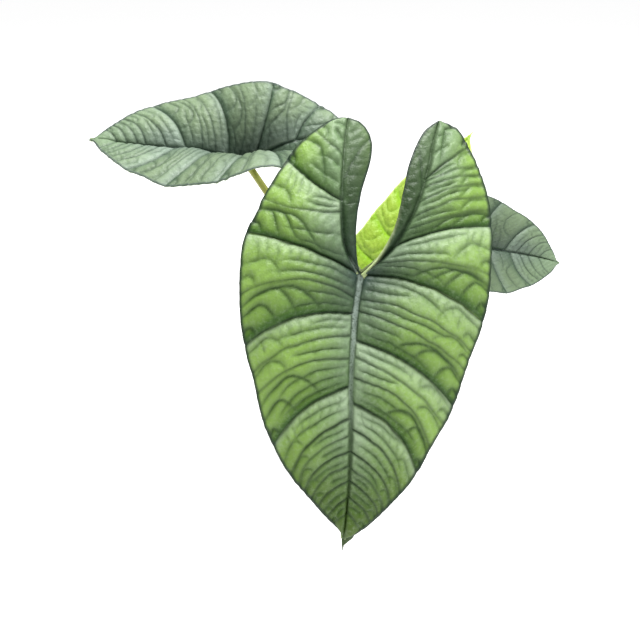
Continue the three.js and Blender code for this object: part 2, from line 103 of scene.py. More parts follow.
# Each leaf in its own words. Where it is: junction is where its stalk meets it, tip_way the way
# its tip points and up_way the way its upper face looks, scale its size. Its form: wide is how
# wide each half is, lobe_wide and lobe_long how much wider and longer its lobes are, rise and
# edge the angles in degrees at which a half leaves the midrib and has turned to at HALF_REACH,
# cup what both gain at cup_centre and how far that lasts toward the tip and toward the lobes,
# funnel how deep its middle sinks, tip_bend and lobe_bend how far its ends turn down, hair the
# length of its drip tip and lean the side on which that is wide. Its surface: grain is the
# distance of the mesh rows, seed draws its fine veins, fine is how strong they are, least the
# weakest named vein that is drawn, spacing the distance of those from the spine, hub how far
# the dark middle, dark green with painted shade of the funnel, reaches and sheen how far the
# silver colour with painted sheen of the second half does.
LEAVES = {
    "front": {
        "halves": [LEFT_HALF, {**RIGHT_HALF, "outer": FULL_OUTER}], "grain": 1.33, "seed": 3,
        "fine": 1, "hub": 30, "spacing": 14, "least": 0,
        "junction": (0, -129, 287), "tip_way": (-.063, -.499, -.864), "up_way": (0, -.866, .5),
        "scale": 1.02, "wide": (.985, 1), "lobe_wide": (1, 1), "lobe_long": 1,
        "rise": (6, 6), "edge": (-22, -22), "cup": ((10, 5), (10, 5)), "cup_centre": (0, 0),
        "cup_reach": (80, 100), "funnel": 7, "tip_bend": 14, "lobe_bend": 16, "hair": 9,
        "lean": 1, "sheen": 14,
    },
    "left": {
        "halves": [LEFT_HALF, RIGHT_HALF], "grain": 1.4, "seed": 5,
        "fine": .7, "hub": 48, "spacing": 20, "least": .32,
        "junction": (-103, 57.5, 320.8), "tip_way": (-.944, .016, .03),
        "up_way": (0, -.108, 1), "scale": .755, "wide": (.96, 1.12), "lobe_wide": (1.08, .7),
        "lobe_long": 1.08, "rise": (53, -1.5), "edge": (-5, -30), "cup": ((21, 47), (36, 24)),
        "cup_centre": (-24, -32), "cup_reach": (104, 82), "funnel": 17.5, "tip_bend": -5,
        "lobe_bend": -4.5, "hair": 3, "lean": 0, "sheen": 15,
    },
    "right": {
        "halves": [mirrored(RIGHT_HALF), mirrored(LEFT_HALF)], "grain": 1.6, "seed": 8,
        "fine": .6, "hub": 95, "spacing": 22, "least": .5,
        "junction": (127.7, 89.8, 221.9), "tip_way": (.986, .035, -.217),
        "up_way": (.048, -1.236, 1), "scale": .58, "wide": (1.11, .99), "lobe_wide": (.6, .9),
        "lobe_long": .7, "rise": (2, 27), "edge": (5, -10), "cup": ((30, 8), (11, 13)),
        "cup_centre": (12, 3), "cup_reach": (70, 100), "funnel": 3.8, "tip_bend": 11,
        "lobe_bend": 50, "hair": 1.5, "lean": 0, "sheen": 9,
    },
    "young": {
        "halves": [{**mirrored(RIGHT_HALF), "veins": YOUNG_VEINS},
                   {**RIGHT_HALF, "veins": YOUNG_VEINS}],
        "grain": 1.6, "seed": 13, "fine": .6, "hub": 14, "spacing": 22, "least": 0,
        "junction": (28, -6, 210), "tip_way": (.475, .285, .832), "up_way": (-.3, -.8, .3),
        "scale": .83, "wide": (.61, .61), "lobe_wide": (.8, .8), "lobe_long": .45,
        "rise": (8, 8), "edge": (-15, -15), "cup": ((14, 5), (14, 5)), "cup_centre": (0, 0),
        "cup_reach": (80, 100), "funnel": 4, "tip_bend": 14, "lobe_bend": 10, "hair": 7,
        "lean": 0, "sheen": 9,
    },
}

# Each stalk: the way round the corm of its foot in degrees, the point it rises toward, the way
# it arrives at the blade and how far ahead of the blade that is felt.
STALKS = {
    "front": {"base": -90, "rise": (0, -18, 185), "arrival": (0, -.81, .58), "reach": 80},
    "left": {"base": 155, "rise": (-15, 6, 190), "arrival": (-.57, .36, .74), "reach": 110},
    "right": {"base": 38, "rise": (14, 12, 165), "arrival": (.45, -.1, .88), "reach": 70},
    "young": {"base": None, "rise": (2, 1, 145), "arrival": (.42, -.16, .89), "reach": 45},
}


# Curves

def spline(points, share):
    """Uniform Catmull-Rom curve through points, with its ends doubled, at shares 0 to 1."""
    p = np.asarray(points, float)
    x = np.clip(np.asarray(share, float), 0, 1) * (len(p) - 1)
    i = np.minimum(x.astype(int), len(p) - 2)
    f = (x - i)[..., None]
    a, b, c, d = p[np.maximum(i - 1, 0)], p[i], p[i + 1], p[np.minimum(i + 2, len(p) - 1)]
    return .5 * (2 * b + (c - a) * f + (2 * a - 5 * b + 4 * c - d) * f ** 2
                 + (3 * b - a - 3 * c + d) * f ** 3)


def measured(samples):
    """A dense polyline and each sample's share of its length."""
    steps = np.linalg.norm(np.diff(samples, axis=0), axis=1)
    length = np.concatenate([[0], np.cumsum(steps)])
    return samples, length / length[-1]


def along(curve, share):
    """Points of a measured polyline at shares of its length."""
    samples, lengths = curve
    return np.stack([np.interp(share, lengths, column) for column in samples.T], -1)


def unit(vector):
    """The vector over its length."""
    return np.asarray(vector, float) / np.linalg.norm(vector)


def waves(points, size, seed, count=7):
    """Smooth noise of about -1 to 1: a sum of sine waves of about that size, each in a random
    direction with a random phase."""
    rng = np.random.default_rng(seed)
    ways = rng.normal(size=(count, points.shape[-1]))
    turns_per_length = 2 * np.pi / size * rng.uniform(.6, 1.5, (count, 1))
    ways *= turns_per_length / np.linalg.norm(ways, axis=1)[:, None]
    phases = rng.uniform(0, 2 * np.pi, count)
    return np.sin(points @ ways.T + phases).sum(-1) / np.sqrt(count)


# Leaf plan: the flat leaf in its own millimetres

DENSE = np.linspace(0, 1, 400)
MIDRIB_CURVE = measured(spline(MIDRIB, DENSE))
MAJOR = 1
STRONG = .5
MARGIN_JUT = .012


def plan_of(half):
    """Measured margins and rib of a half, and its veins' four columns with both ends added."""
    veins = np.array([(-1, 0, 0, 0), *half["veins"], (1, 1, 0, 0)], float)
    return {
        "side": half["side"],
        **{line: measured(spline(half[line], DENSE)) for line in ("outer", "inner", "rib")},
        "veins": veins,
        "majors": with_ends(veins, veins[:, 3] >= MAJOR),
        "strong": with_ends(veins, veins[:, 3] >= STRONG),
    }


def with_ends(veins, chosen):
    """The chosen veins and both ends of the spine."""
    return veins[chosen | (np.abs(veins[:, 0]) == 1)]


def spine_at(plan, q):
    """The midrib at q from 0 to 1, or the lobe's rib at -q for q below 0."""
    q = np.asarray(q, float)
    return np.where(q[..., None] < 0, along(plan["rib"], -q), along(MIDRIB_CURVE, q))


def row_points(plan, q, s):
    """Points at share s of the row that leaves the spine at q: a straight chord to the outer
    margin, pushed toward the lobes by its bow times 4s(1 - s) of its length. The margin juts
    1.2% where a major vein ends and sags 1.2% halfway between two."""
    veins, majors = plan["veins"], plan["majors"][:, 0]
    spine = spine_at(plan, q)
    chord = along(plan["outer"], np.interp(q, veins[:, 0], veins[:, 1])) - spine
    phase = np.interp(q, majors, np.arange(len(majors)))
    jut = MARGIN_JUT * np.cos(2 * np.pi * phase) * s ** 5
    chord = chord * (1 + np.where(np.abs(q) > .97, 0, jut))[..., None]
    normal = np.stack([-chord[..., 1], chord[..., 0]], -1)
    normal = np.where(normal[..., 1:] > 0, -normal, normal)
    bow = np.interp(q, veins[:, 0], veins[:, 2]) * 4 * s * (1 - s)
    return spine + chord * s[..., None] + normal * bow[..., None]


def rows_for(plans, low, high, grain):
    """Row values between two spine values, so that on no given half the rows lie further apart
    than grain, near the spine and three quarters of the way to the margin."""
    q = np.linspace(low, high, 600)
    gaps = [
        np.linalg.norm(np.diff(row_points(plan, q, np.full(600, share)), axis=0), axis=1)
        for plan in plans for share in (.1, .75)
    ]
    run = np.concatenate([[0], np.cumsum(np.maximum.reduce(gaps))])
    return np.interp(np.linspace(0, run[-1], int(run[-1] / grain) + 2), run, q)


# Veins, each as (polyline, depth, width, darkness, fade)

# Domes above a major vein and above a weaker one: where the first starts along it, how far apart
# they are, how tall one is as a share of what is left of the vein, how deep and how dark.
MAJOR_DOMES = {"first": .3, "space": 15, "tall": .62, "deep": 3.3, "dark": .34}
MINOR_DOMES = {"first": .62, "space": 19, "tall": .45, "deep": 2.4, "dark": .22}
COMB_SPACE = 8.2
LOBE_VEINS = 16
NEARLY_MAJOR = .9
LEAST_REACH, LEAST_ROOM, COMB_ROOM = 12, 4, 8
# Places along a fine vein.
X = np.linspace(0, 1, 16)


def named_vein(plan, q, weight, soft):
    """A named vein along its row, deeper, wider and darker the stronger it is."""
    points = row_points(plan, np.full(40, q), np.linspace(0, 1, 40))
    deep, width = (3, 3.1) if weight >= MAJOR else (1.6 + 1.7 * weight, 2.5)
    return points, deep * soft, width, min(1, .5 + .6 * weight) * soft, "root"


def domes(curve, kind, reach, room, leaf, rng):
    """Veins that leave the vein on the tip's side steeply, as a sine of their length, and arch
    over to the margin, nested toward the corner."""
    first, space = kind["first"], kind["space"] / leaf["scale"]
    count = int(np.clip(round(reach * (.94 - first) / space), 1, 6))
    for start in np.linspace(first, .93 - .12 / count, count) + rng.uniform(-.02, .02, count):
        tall = kind["tall"] * (1.02 - start) * reach + 1.5
        climb = min(.9, tall / room) * (np.sin(np.minimum(1, 1.7 * X) * np.pi / 2) - .2 * X ** 3)
        share = start + (1.02 - start) * X ** 1.35
        yield (curve(1 - climb, share), leaf["fine"] * kind["deep"], 2.9,
               leaf["fine"] * kind["dark"], "both")


def combs(curve, reach, leaf, rng):
    """Short veins square to a major vein, on its tip's side, that lean a little as they go."""
    for start in np.arange(.14, .94, COMB_SPACE / reach / leaf["scale"]):
        start += rng.uniform(-.02, .02)
        place = .03 + rng.uniform(.45, .8) * X
        share = start + (.05 - .12 * start) * X ** 2 - .035 * np.sin(np.pi * X)
        yield curve(place, share), 1.5 * leaf["fine"], 1.9, .18 * leaf["fine"], "both"


def runners(curve, room, leaf, rng):
    """Faint veins from the spine that run along the rows, bend as a power of their length and
    die out."""
    count = int(round(room * leaf["scale"] / leaf["spacing"]))
    for k in range(count):
        base = (k + 1) / (count + 1) + rng.uniform(-.06, .06)
        end, bend = rng.uniform(.4, .85), rng.uniform(-.4, .9 - base)
        place = base + bend * X ** 3.5
        share = .03 + (end - .03) * X
        yield curve(place, share), 2.8 * leaf["fine"], 2.8, .24 * leaf["fine"], "both"


def lobe_veins(plan, fine, rng):
    """Short straight veins from the lobe's rib to the notch, and one long bowed one."""
    starts = np.linspace(-.94, -.1, LOBE_VEINS) + rng.uniform(-.012, .012, LOBE_VEINS)
    for q, slant in zip(starts, rng.uniform(-.03, .05, LOBE_VEINS)):
        foot = spine_at(plan, np.array(q))
        edge = along(plan["inner"], np.clip(1 + q + slant, 0, 1))
        points = foot + (edge - foot) * np.linspace(.04, 1, 8)[:, None]
        yield points, .8 * fine, 1.4, .3 * fine, "both"
    foot, edge = spine_at(plan, np.array(-.56)), along(plan["inner"], np.array(.2))
    bow = np.array([[0, -6]]) * np.sin(np.pi * X)[:, None]
    yield foot + (edge - foot) * X[:, None] + bow, 1.5, 2, .8, "root"


def vein_lines(plan, rng, leaf):
    """Every vein of a half: the named ones, and between two of them domes, combs and runners."""
    veins = with_ends(plan["veins"], plan["veins"][:, 3] > leaf["least"])
    soft = .4 + .6 * leaf["fine"]
    lines = [named_vein(plan, q, weight, soft) for q, _, _, weight in veins[1:-1]]
    for (q0, _, _, above), (q1, _, _, below) in zip(veins[:-1], veins[1:]):
        ends = row_points(plan, np.array([q1, q1]), np.array([0, 1.]))
        reach = np.linalg.norm(ends[1] - ends[0])
        pair = row_points(plan, np.array([q0, q1]), np.array([.7, .7]))
        room = np.linalg.norm(pair[1] - pair[0])
        if reach < LEAST_REACH or room < LEAST_ROOM:
            continue

        def curve(place, share):
            return row_points(plan, q0 + (q1 - q0) * np.clip(place, 0, 1), np.clip(share, 0, 1))

        kind = MAJOR_DOMES if below >= NEARLY_MAJOR else MINOR_DOMES
        lines += domes(curve, kind, reach, room, leaf, rng)
        if room > COMB_ROOM:
            if above >= NEARLY_MAJOR:
                lines += combs(curve, reach, leaf, rng)
            lines += runners(curve, room, leaf, rng)
    return [*lines, *lobe_veins(plan, leaf["fine"], rng)]


CARVE_REACH = 4.5


def carve(points, lines, warp):
    """How deep and how dark the veins are at points. Across a vein its depth falls off as
    exp(-distance/width), along it as its fade says, and where several meet their fourth powers
    add under a fourth root. warp moves the points a little first, which makes fine veins waver."""
    depth = np.zeros(len(points))
    dark = np.zeros(len(points))
    for line, deep, width, shade, fade in lines:
        reach = CARVE_REACH * width
        low, high = line.min(0) - reach, line.max(0) + reach
        near = np.flatnonzero(((points > low) & (points < high)).all(1))
        if not len(near):
            continue
        at = points[near] + (1 if deep < 1 else .35) * warp[near]
        start, step = line[:-1], np.diff(line, axis=0)
        relative = at[:, None] - start
        share = np.clip((relative * step).sum(-1) / np.maximum((step ** 2).sum(-1), 1e-9), 0, 1)
        apart = np.linalg.norm(relative - share[..., None] * step, axis=-1)
        nearest = apart.argmin(1)
        pick = (np.arange(len(at)), nearest)
        run = (nearest + share[pick]) / len(step)
        strength = 1 - .4 * run if fade == "root" else np.minimum(1, 5 * run * (1 - run)) ** .6
        gap = apart[pick]
        depth[near] += (deep * strength * np.exp(-gap / width)) ** 4
        dark[near] += (shade * strength * np.exp(-(gap / (.55 + .3 * width)) ** 2)) ** 4
    return depth ** .25, dark ** .25


# Leaf form: from the flat plan to its place in the CAD frame

def rolled(x, start, end):
    """Arc of a half leaf, which leaves the midrib at angle start and has turned to angle end at
    HALF_REACH: how far a point at distance x gets sideways and up."""
    turn = (start - end) / HALF_REACH
    turn = np.where(np.abs(turn) < 1e-6, 1e-6, turn)
    there = start - turn * x
    return (np.sin(start) - np.sin(there)) / turn, (np.cos(there) - np.cos(start)) / turn


def leaf_ways(leaf):
    """Unit vectors of a leaf: toward its tip, up from its upper face and across to its +u side."""
    way = unit(leaf["tip_way"])
    up = np.asarray(leaf["up_way"], float)
    up = unit(up - way * (up @ way))
    return way, up, np.cross(up, way)


def placed(leaf, which, flat):
    """Places of flat leaf points. The distance from the midrib is rolled to an arc whose angles
    grow near the stalk, a funnel sinks the middle, and the midrib bends as an arc toward the tip
    and toward the lobes."""
    u, v = flat[:, 0], flat[:, 1]
    side = leaf["halves"][which]["side"]
    way, up, across = leaf_ways(leaf)
    in_lobe = np.clip(-v / LOBE_LENGTH, 0, 1)
    width = leaf["wide"][which] * (1 + (leaf["lobe_wide"][which] - 1) * in_lobe)
    run = np.where(v < 0, v * leaf["lobe_long"], v)
    spine = np.where(v > 0, np.interp(v, MIDRIB_CURVE[0][:, 1], MIDRIB_CURVE[0][:, 0]), 0)
    x = side * (u - spine) * width
    past = run - leaf["cup_centre"][which]
    cup = np.exp(-(past / np.where(past < 0, leaf["cup_reach"][1], leaf["cup_reach"][0])) ** 2)
    start = np.radians(leaf["rise"][which] + leaf["cup"][which][0] * cup)
    end = np.radians(leaf["edge"][which] + leaf["cup"][which][1] * cup)
    sideways, rise = rolled(x, start, end)
    height = rise + leaf["funnel"] * (1 - np.exp(-(x ** 2 + run ** 2) / FUNNEL_RADIUS ** 2))
    curl = np.where(run < 0, np.radians(leaf["lobe_bend"]) / LOBE_LENGTH,
                    np.radians(leaf["tip_bend"]) / MIDRIB_LENGTH)
    angle = curl * run
    return np.asarray(leaf["junction"], float) + leaf["scale"] * (
        (spine + side * sideways)[:, None] * across
        + (np.sin(angle) / curl + height * np.sin(angle))[:, None] * way
        + ((np.cos(angle) - 1) / curl + height * np.cos(angle))[:, None] * up
    )


NO_VEIN = 99.
SWELL_SHARE, SWELL_MOST = .13, 5


def quilt(plan, q, s, kind="majors"):
    """Swell of the blade between two veins of a kind: 0.13 of the room between them, up to 5 mm,
    times (4p(1 - p)) to the power 0.7 of the place p between them, flat by the midrib and lower
    by the margin. Also gives the distance to the vein toward the tip and the one toward the
    lobes."""
    majors = plan[kind]
    i = np.clip(np.searchsorted(majors[:, 0], q, side="right") - 1, 0, len(majors) - 2)
    lower, upper = majors[i], majors[i + 1]
    veins = plan["veins"]
    margin = np.interp(q, veins[:, 0], veins[:, 1])
    by_spine = (q - lower[:, 0]) / (upper[:, 0] - lower[:, 0])
    by_margin = (margin - lower[:, 1]) / (upper[:, 1] - lower[:, 1])
    middle = row_points(plan, majors[:, 0], np.full(len(majors), .5))
    room = np.linalg.norm(np.diff(middle, axis=0), axis=1)[i][:, None]
    place = np.clip((1 - s) * by_spine[:, None] + s * by_margin[:, None], 0, 1)
    swell = np.minimum(SWELL_SHARE * room, SWELL_MOST) * (4 * place * (1 - place)) ** .7
    swell = swell * (1 - np.exp(-s / .08)) * (1 - .75 * s ** 4)
    spread = room * (.35 + 1.3 * s)
    to_tip = np.where((upper[:, 3] >= MAJOR)[:, None], (1 - place) * spread, NO_VEIN)
    to_lobes = np.where((lower[:, 3] >= MAJOR)[:, None], place * spread, NO_VEIN)
    return swell, to_tip, to_lobes


def triangles_of(index, turn):
    """Two triangles for each cell of an index grid, without those that a pole makes flat."""
    a, b, c, d = index[:-1, :-1], index[:-1, 1:], index[1:, 1:], index[1:, :-1]
    faces = np.concatenate([np.stack([a, b, c], -1).reshape(-1, 3),
                            np.stack([a, c, d], -1).reshape(-1, 3)])
    flat = (faces == np.roll(faces, 1, axis=1)).any(1)
    faces = faces[~flat]
    return faces if turn > 0 else faces[:, ::-1]


def normals_of(points, faces):
    """Vertex normals, weighted by the area of the faces round each vertex."""
    corners = points[faces]
    face = np.cross(corners[:, 1] - corners[:, 0], corners[:, 2] - corners[:, 0])
    total = np.stack([
        np.bincount(faces.ravel(), np.repeat(face[:, k], 3), len(points)) for k in range(3)
    ], -1)
    return total / np.maximum(np.linalg.norm(total, axis=1), 1e-12)[:, None]


def closed(upper, lower, faces):
    """Both faces of a sheet joined round its open edges."""
    count = len(upper)
    pairs = np.concatenate([faces[:, [0, 1]], faces[:, [1, 2]], faces[:, [2, 0]]])
    key = pairs[:, 0] * count + pairs[:, 1]
    lone = pairs[~np.isin(key, pairs[:, 1] * count + pairs[:, 0])]
    a, b = lone[:, 0], lone[:, 1]
    rim = np.concatenate([np.stack([b, a, a + count], -1), np.stack([b, a + count, b + count], -1)])
    return np.concatenate([upper, lower]), np.concatenate([faces, faces[:, ::-1] + count, rim])


COLUMN_ENDS = np.array([.955, .972, .985, .993, 1])
COLUMN_ROOM = 84
NOTCH_ROOM = 26
SKIN = .3
BLADE_THICK = .55
KEEL_SHARE = .9
RIPPLE_SIZE, RIPPLE_DEPTH = 9, .3
WARP_SIZE, WARP = 26, 1.3
# How far in each colour, painted sheen and painted shade reaches, in flat millimetres.
RIM_WIDTH, NOTCH_RIM_WIDTH = 2.5, 1.8
GLOW_WIDTH, GLOW_REACH = 1.6, 36
SILVER_SHEEN_REACH, SHADE_REACH = 7.5, 7.5
FAR_REACH, STRIP_REACH, DEEPEST = 60, 108, 3.6
DULL_FROM, DULL_TO = 150, 205
TIP_FROM, TIP_TO = 110, 200


def patch(half, flat, swell=0, to_tip=NO_VEIN, to_lobes=NO_VEIN, strip=0, span=0):
    """Flat points, and for each its half, quilt swell, distances to the major veins toward the
    tip and toward the lobes, place between the lobe's rib and the notch, and share of the way
    from the spine to the margin."""
    known = (swell, to_tip, to_lobes, strip, span)
    columns = [np.broadcast_to(value, len(flat)).astype(float) for value in known]
    return flat, np.full(len(flat), half), *columns


def numbered(first_column, start, columns):
    """Point numbers of a grid. Its first column is given, its first and last row are poles, and
    the rest counts on from start."""
    index = np.empty((len(first_column), columns), int)
    index[:, 0] = first_column
    index[1:-1, 1:] = start + np.arange((len(index) - 2) * (columns - 1)).reshape(-1, columns - 1)
    index[0, 1:] = first_column[0]
    index[-1, 1:] = first_column[-1]
    return index


def leaf_grid(plans, grain):
    """The flat leaf: a row parameter runs from the lobe's end to the tip and a column parameter
    from the spine to the margin, and between each lobe's rib and the notch from one to the
    other. Gives the patches' columns, the triangles and how many points the midrib has."""
    mid_rows = rows_for(plans, 0, 1, grain)
    mid_count = len(mid_rows)
    patches = [patch(0, along(MIDRIB_CURVE, mid_rows))]
    faces = []
    count = mid_count
    shares = np.concatenate([np.linspace(0, .94, int(COLUMN_ROOM / grain)) ** 1.05, COLUMN_ENDS])
    notch_shares = np.linspace(0, 1, int(NOTCH_ROOM / grain))
    for half, plan in enumerate(plans):
        lobe_rows = rows_for([plan], -1, 0, grain)[:-1]
        rib = np.arange(count, count + len(lobe_rows))
        patches.append(patch(half, spine_at(plan, lobe_rows)))
        count += len(rib)
        body, s = np.concatenate([lobe_rows, mid_rows])[1:-1], shares[1:]
        flat = row_points(plan, np.repeat(body, len(s)), np.tile(s, len(body)))
        swell, to_tip, to_lobes = quilt(plan, body, s[None])
        swell = .75 * swell + .5 * quilt(plan, body, s[None], "strong")[0]
        index = numbered(np.concatenate([rib, np.arange(mid_count)]), count, len(shares))
        faces.append(triangles_of(index, -plan["side"]))
        patches.append(patch(half, flat, swell.ravel(), to_tip.ravel(), to_lobes.ravel(),
                             span=np.tile(s, len(body))))
        count += len(flat)
        strip, s = lobe_rows[1:], notch_shares[1:]
        spine = spine_at(plan, strip)[:, None]
        edge = along(plan["inner"], 1 + strip)[:, None]
        flat = (spine + (edge - spine) * s[None, :, None]).reshape(-1, 2)
        index = numbered(np.append(rib, 0), count, len(notch_shares))
        faces.append(triangles_of(index, plan["side"]))
        patches.append(patch(half, flat, np.tile(1.2 * np.sin(np.pi * s), len(strip)),
                             strip=np.tile(1 - np.exp(-s / .08), len(strip))))
        count += len(flat)
    columns = [np.concatenate(column) for column in zip(*patches)]
    return columns, np.concatenate(faces), mid_count


def rib_marks(points, name, curve):
    """Of the midrib or a lobe's rib, at points: the distance to it, its pale raised band, the
    keel under it, the groove that it lies in and the dark lines beside it. Each falls off as a
    Gauss curve or a steeper power of that distance, and the band fades toward the tip."""
    run, away = nearest_on(points, curve)
    middle = name == "mid"
    half_width = 2.4 - 1.5 * run if middle else 1.7 - 1.1 * run
    tall = 3 - 2.4 * run if middle else 2.2 * (1 - run)
    pale = np.clip(1.4 - 2.4 * run if middle else 1 - 7 * run, 0, 1)
    band = np.exp(-(away / half_width) ** 6) * pale
    keel = tall * np.exp(-(away / (1.1 * half_width)) ** 2)
    groove = (2.8 - 2 * run) * np.exp(-(away / (2 * half_width)) ** 2)
    line = np.exp(-((away - 1.12 * half_width) / (.55 + .1 * half_width)) ** 2) * pale
    soft = (1.2 - .85 * run) * np.exp(-(away / (1.9 + .5 * half_width)) ** 4)
    return away, band, keel, groove, np.maximum(line, soft * (1 - pale))


def leaf_marks(plans, columns, mid_count, leaf):
    """How deep and dark the veins are, and where ribs, keels, rims and the pale notch edge are,
    at every flat point."""
    flat, which, _, _, _, strips, span = columns
    depth, dark, rim, ribs, far, glow, keel = np.zeros((7, len(flat)))
    rng = np.random.default_rng(leaf["seed"])
    warp = np.stack([WARP * waves(flat, WARP_SIZE, leaf["seed"] + k) for k in (1, 2)], -1)
    for half, plan in enumerate(plans):
        mine = which == half
        if half == 0:
            mine[:mid_count] = True
        deep, shade = carve(flat[mine], vein_lines(plan, rng, leaf), warp[mine])
        depth[mine] = np.maximum(depth[mine], deep)
        dark[mine] = np.maximum(dark[mine], shade)
        for name, curve in (("mid", MIDRIB_CURVE), ("rib", plan["rib"])):
            away, band, under, groove, line = rib_marks(flat[mine], name, curve)
            far[mine] = np.where(far[mine] == 0, away, np.minimum(far[mine], away))
            ribs[mine] = np.maximum(ribs[mine], band)
            keel[mine] = np.maximum(keel[mine], under)
            depth[mine] = np.maximum(depth[mine] * (1 - band), groove) - .9 * band
            dark[mine] = np.maximum(dark[mine] * (1 - band), line)
        margin = measured(row_points(plan, np.linspace(-1, 1, 500), np.ones(500)))
        outside = np.flatnonzero(mine & (span > .9))
        rim[outside] = np.exp(-(nearest_on(flat[outside], margin, 120)[1] / RIM_WIDTH) ** 4)
        inside = np.flatnonzero(mine & (strips > 0))
        away = nearest_on(flat[inside], plan["inner"])[1]
        rim[inside] = np.maximum(rim[inside], np.exp(-(away / NOTCH_RIM_WIDTH) ** 4))
        if plan["side"] > 0:
            near_stalk = np.exp(-(flat[inside, 1] / GLOW_REACH) ** 2)
            glow[inside] = np.exp(-(away / GLOW_WIDTH) ** 2) * near_stalk
    return depth, dark, rim, ribs, far, glow, keel


def blade(leaf):
    """The leaf's blade as points, triangles and the values that its colours follow. The flat
    grid is placed, swollen by the quilt and cut by the veins along its normals, and the
    underside follows the upper face with a keel below each rib."""
    plans = [plan_of(half) for half in leaf["halves"]]
    columns, faces, mid_count = leaf_grid(plans, leaf["grain"])
    flat, which, swell, to_tip, to_lobes, strips, _ = columns
    depth, dark, rim, ribs, far, glow, keel = leaf_marks(plans, columns, mid_count, leaf)
    ripple = RIPPLE_DEPTH * waves(flat, RIPPLE_SIZE, leaf["seed"] + 7)
    relief = (swell - depth * (1 - .6 * rim) + ripple) * leaf["scale"]
    plain = np.where(which[:, None] == 0, placed(leaf, 0, flat), placed(leaf, 1, flat))
    raised = plain + normals_of(plain, faces) * relief[:, None]
    normal = normals_of(raised, faces)
    thick = SKIN + (BLADE_THICK - .2 * rim) + (keel + .5 * depth) * leaf["scale"] * KEEL_SHARE
    upper = raised + normal * SKIN
    lower = raised - normal * thick[:, None]
    points, faces = closed(upper, lower, faces)

    # Silver colour with painted sheen on the swell just tipward of each major vein, where it faces
    # the light; on the second half it reaches as far as the leaf's sheen says, and it dulls toward
    # the tip.
    silver_and_painted_sheen = np.exp(-to_lobes / np.where(which == 1, leaf["sheen"], SILVER_SHEEN_REACH))
    dull = smooth(flat[:, 1], DULL_FROM, DULL_TO)
    silver_and_painted_sheen = silver_and_painted_sheen * np.clip(to_lobes / 1.5, 0, 1) * (1 - .6 * dull)
    values = {
        "vein": dark, "rib": ribs, "rim": rim, "silver_and_painted_sheen": silver_and_painted_sheen, "glow": glow,
        # Painted shade, with deeper green, on the swell just lobeward of each major vein, where it
        # faces away from the light.
        "shade": np.exp(-to_tip / SHADE_REACH),
        # The dark middle: dark green with painted shade in the funnel round the junction.
        "hub": np.exp(-(np.linalg.norm(flat, axis=1) / leaf["hub"]) ** 1.3),
        "far": np.clip(far / FAR_REACH, 0, 1),
        # Painted shade on the strip between each lobe's rib and the notch, strongest toward the
        # notch near the stalk.
        "strip": strips * (.35 + .65 * np.exp(-(flat[:, 1] / STRIP_REACH) ** 6)),
        # depth: painted shade in the vein grooves; tip: darker, more saturated green toward the
        # front blade's tip, partly painted shade where it curls under, and a lighter tone on the
        # grey blades.
        "depth": np.clip(depth / DEEPEST, 0, 1), "tip": smooth(flat[:, 1], TIP_FROM, TIP_TO),
    }
    values = {name: np.concatenate([value, value]) for name, value in values.items()}
    values["under"] = np.repeat([0., 1.], len(flat))
    end = mid_count - 1
    hair = drip_tip(leaf, raised[end], raised[end] - raised[end - 6])
    hair_values = {"rim": .55, "tip": 1}
    values = {
        name: np.concatenate([value, np.full(len(hair[0]), hair_values.get(name, 0))])
        for name, value in values.items()
    }
    return (np.concatenate([points, hair[0]]),
            np.concatenate([faces, hair[1] + len(points)]), values)


def nearest_on(points, curve, parts=40):
    """For each flat point, the share along a curve of its nearest point, and the distance."""
    line = along(curve, np.linspace(0, 1, parts + 1))
    start, step = line[:-1], np.diff(line, axis=0)
    relative = points[:, None] - start
    share = np.clip((relative * step).sum(-1) / (step ** 2).sum(-1), 0, 1)
    apart = np.linalg.norm(relative - share[..., None] * step, axis=-1)
    nearest = apart.argmin(1)
    pick = (np.arange(len(points)), nearest)
    return (nearest + share[pick]) / parts, apart[pick]


def tube(centres, widths, first_way, thicks, sides):
    """An oval profile, each place's width across the path and its thickness square to that,
    carried along a path and closed by a pole at both ends."""
    centres = np.asarray(centres, float)
    tangent = np.gradient(centres, axis=0)
    tangent /= np.linalg.norm(tangent, axis=1)[:, None]
    first_way = np.asarray(first_way, float)
    width_way = first_way - tangent * (tangent @ first_way)[:, None]
    width_way /= np.linalg.norm(width_way, axis=1)[:, None]
    thick_way = np.cross(tangent, width_way)
    angle = np.linspace(0, 2 * np.pi, sides, endpoint=False)
    rings = (centres[:, None]
             + (widths[:, None] * np.cos(angle))[..., None] * width_way[:, None]
             + (thicks[:, None] * np.sin(angle))[..., None] * thick_way[:, None])
    return skinned(rings, centres[0], centres[-1])


def skinned(rings, first, last):
    """Triangles over a grid of rings, each closed on itself, with a pole at both ends."""
    rows, sides = rings.shape[:2]
    index = np.arange(rows * sides).reshape(rows, sides)
    index = np.concatenate([index, index[:, :1]], 1)
    top = np.full((1, sides + 1), rows * sides)
    index = np.concatenate([top, index, top + 1])
    points = np.concatenate([rings.reshape(-1, 3), [first, last]])
    return points, triangles_of(index, 1)


# The drip tip's half widths on its full and on its slim side, and its half thickness, at places
# from -1, which is DRIP_ROOT back on the blade, over 0, the blade's end, to 1, the hair's end.
DRIP_ROOT = 6
DRIP_PLACES = [-1, -.4, 0, .3, .55, .7, 1]
DRIP_FULL = [9.6, 8, 5.8, 3.6, 1.2, .7, .25]
DRIP_SLIM = [2, 1.8, 1.2, 1, .7, .5, .25]
DRIP_THICK = {-1: .6, 0: .55, 1: .25}
# A tip with a shorter hair than this is narrower in proportion.
DRIP_USUAL_HAIR = 8
DRIP_HANG = np.array([.1, 0, -.22])


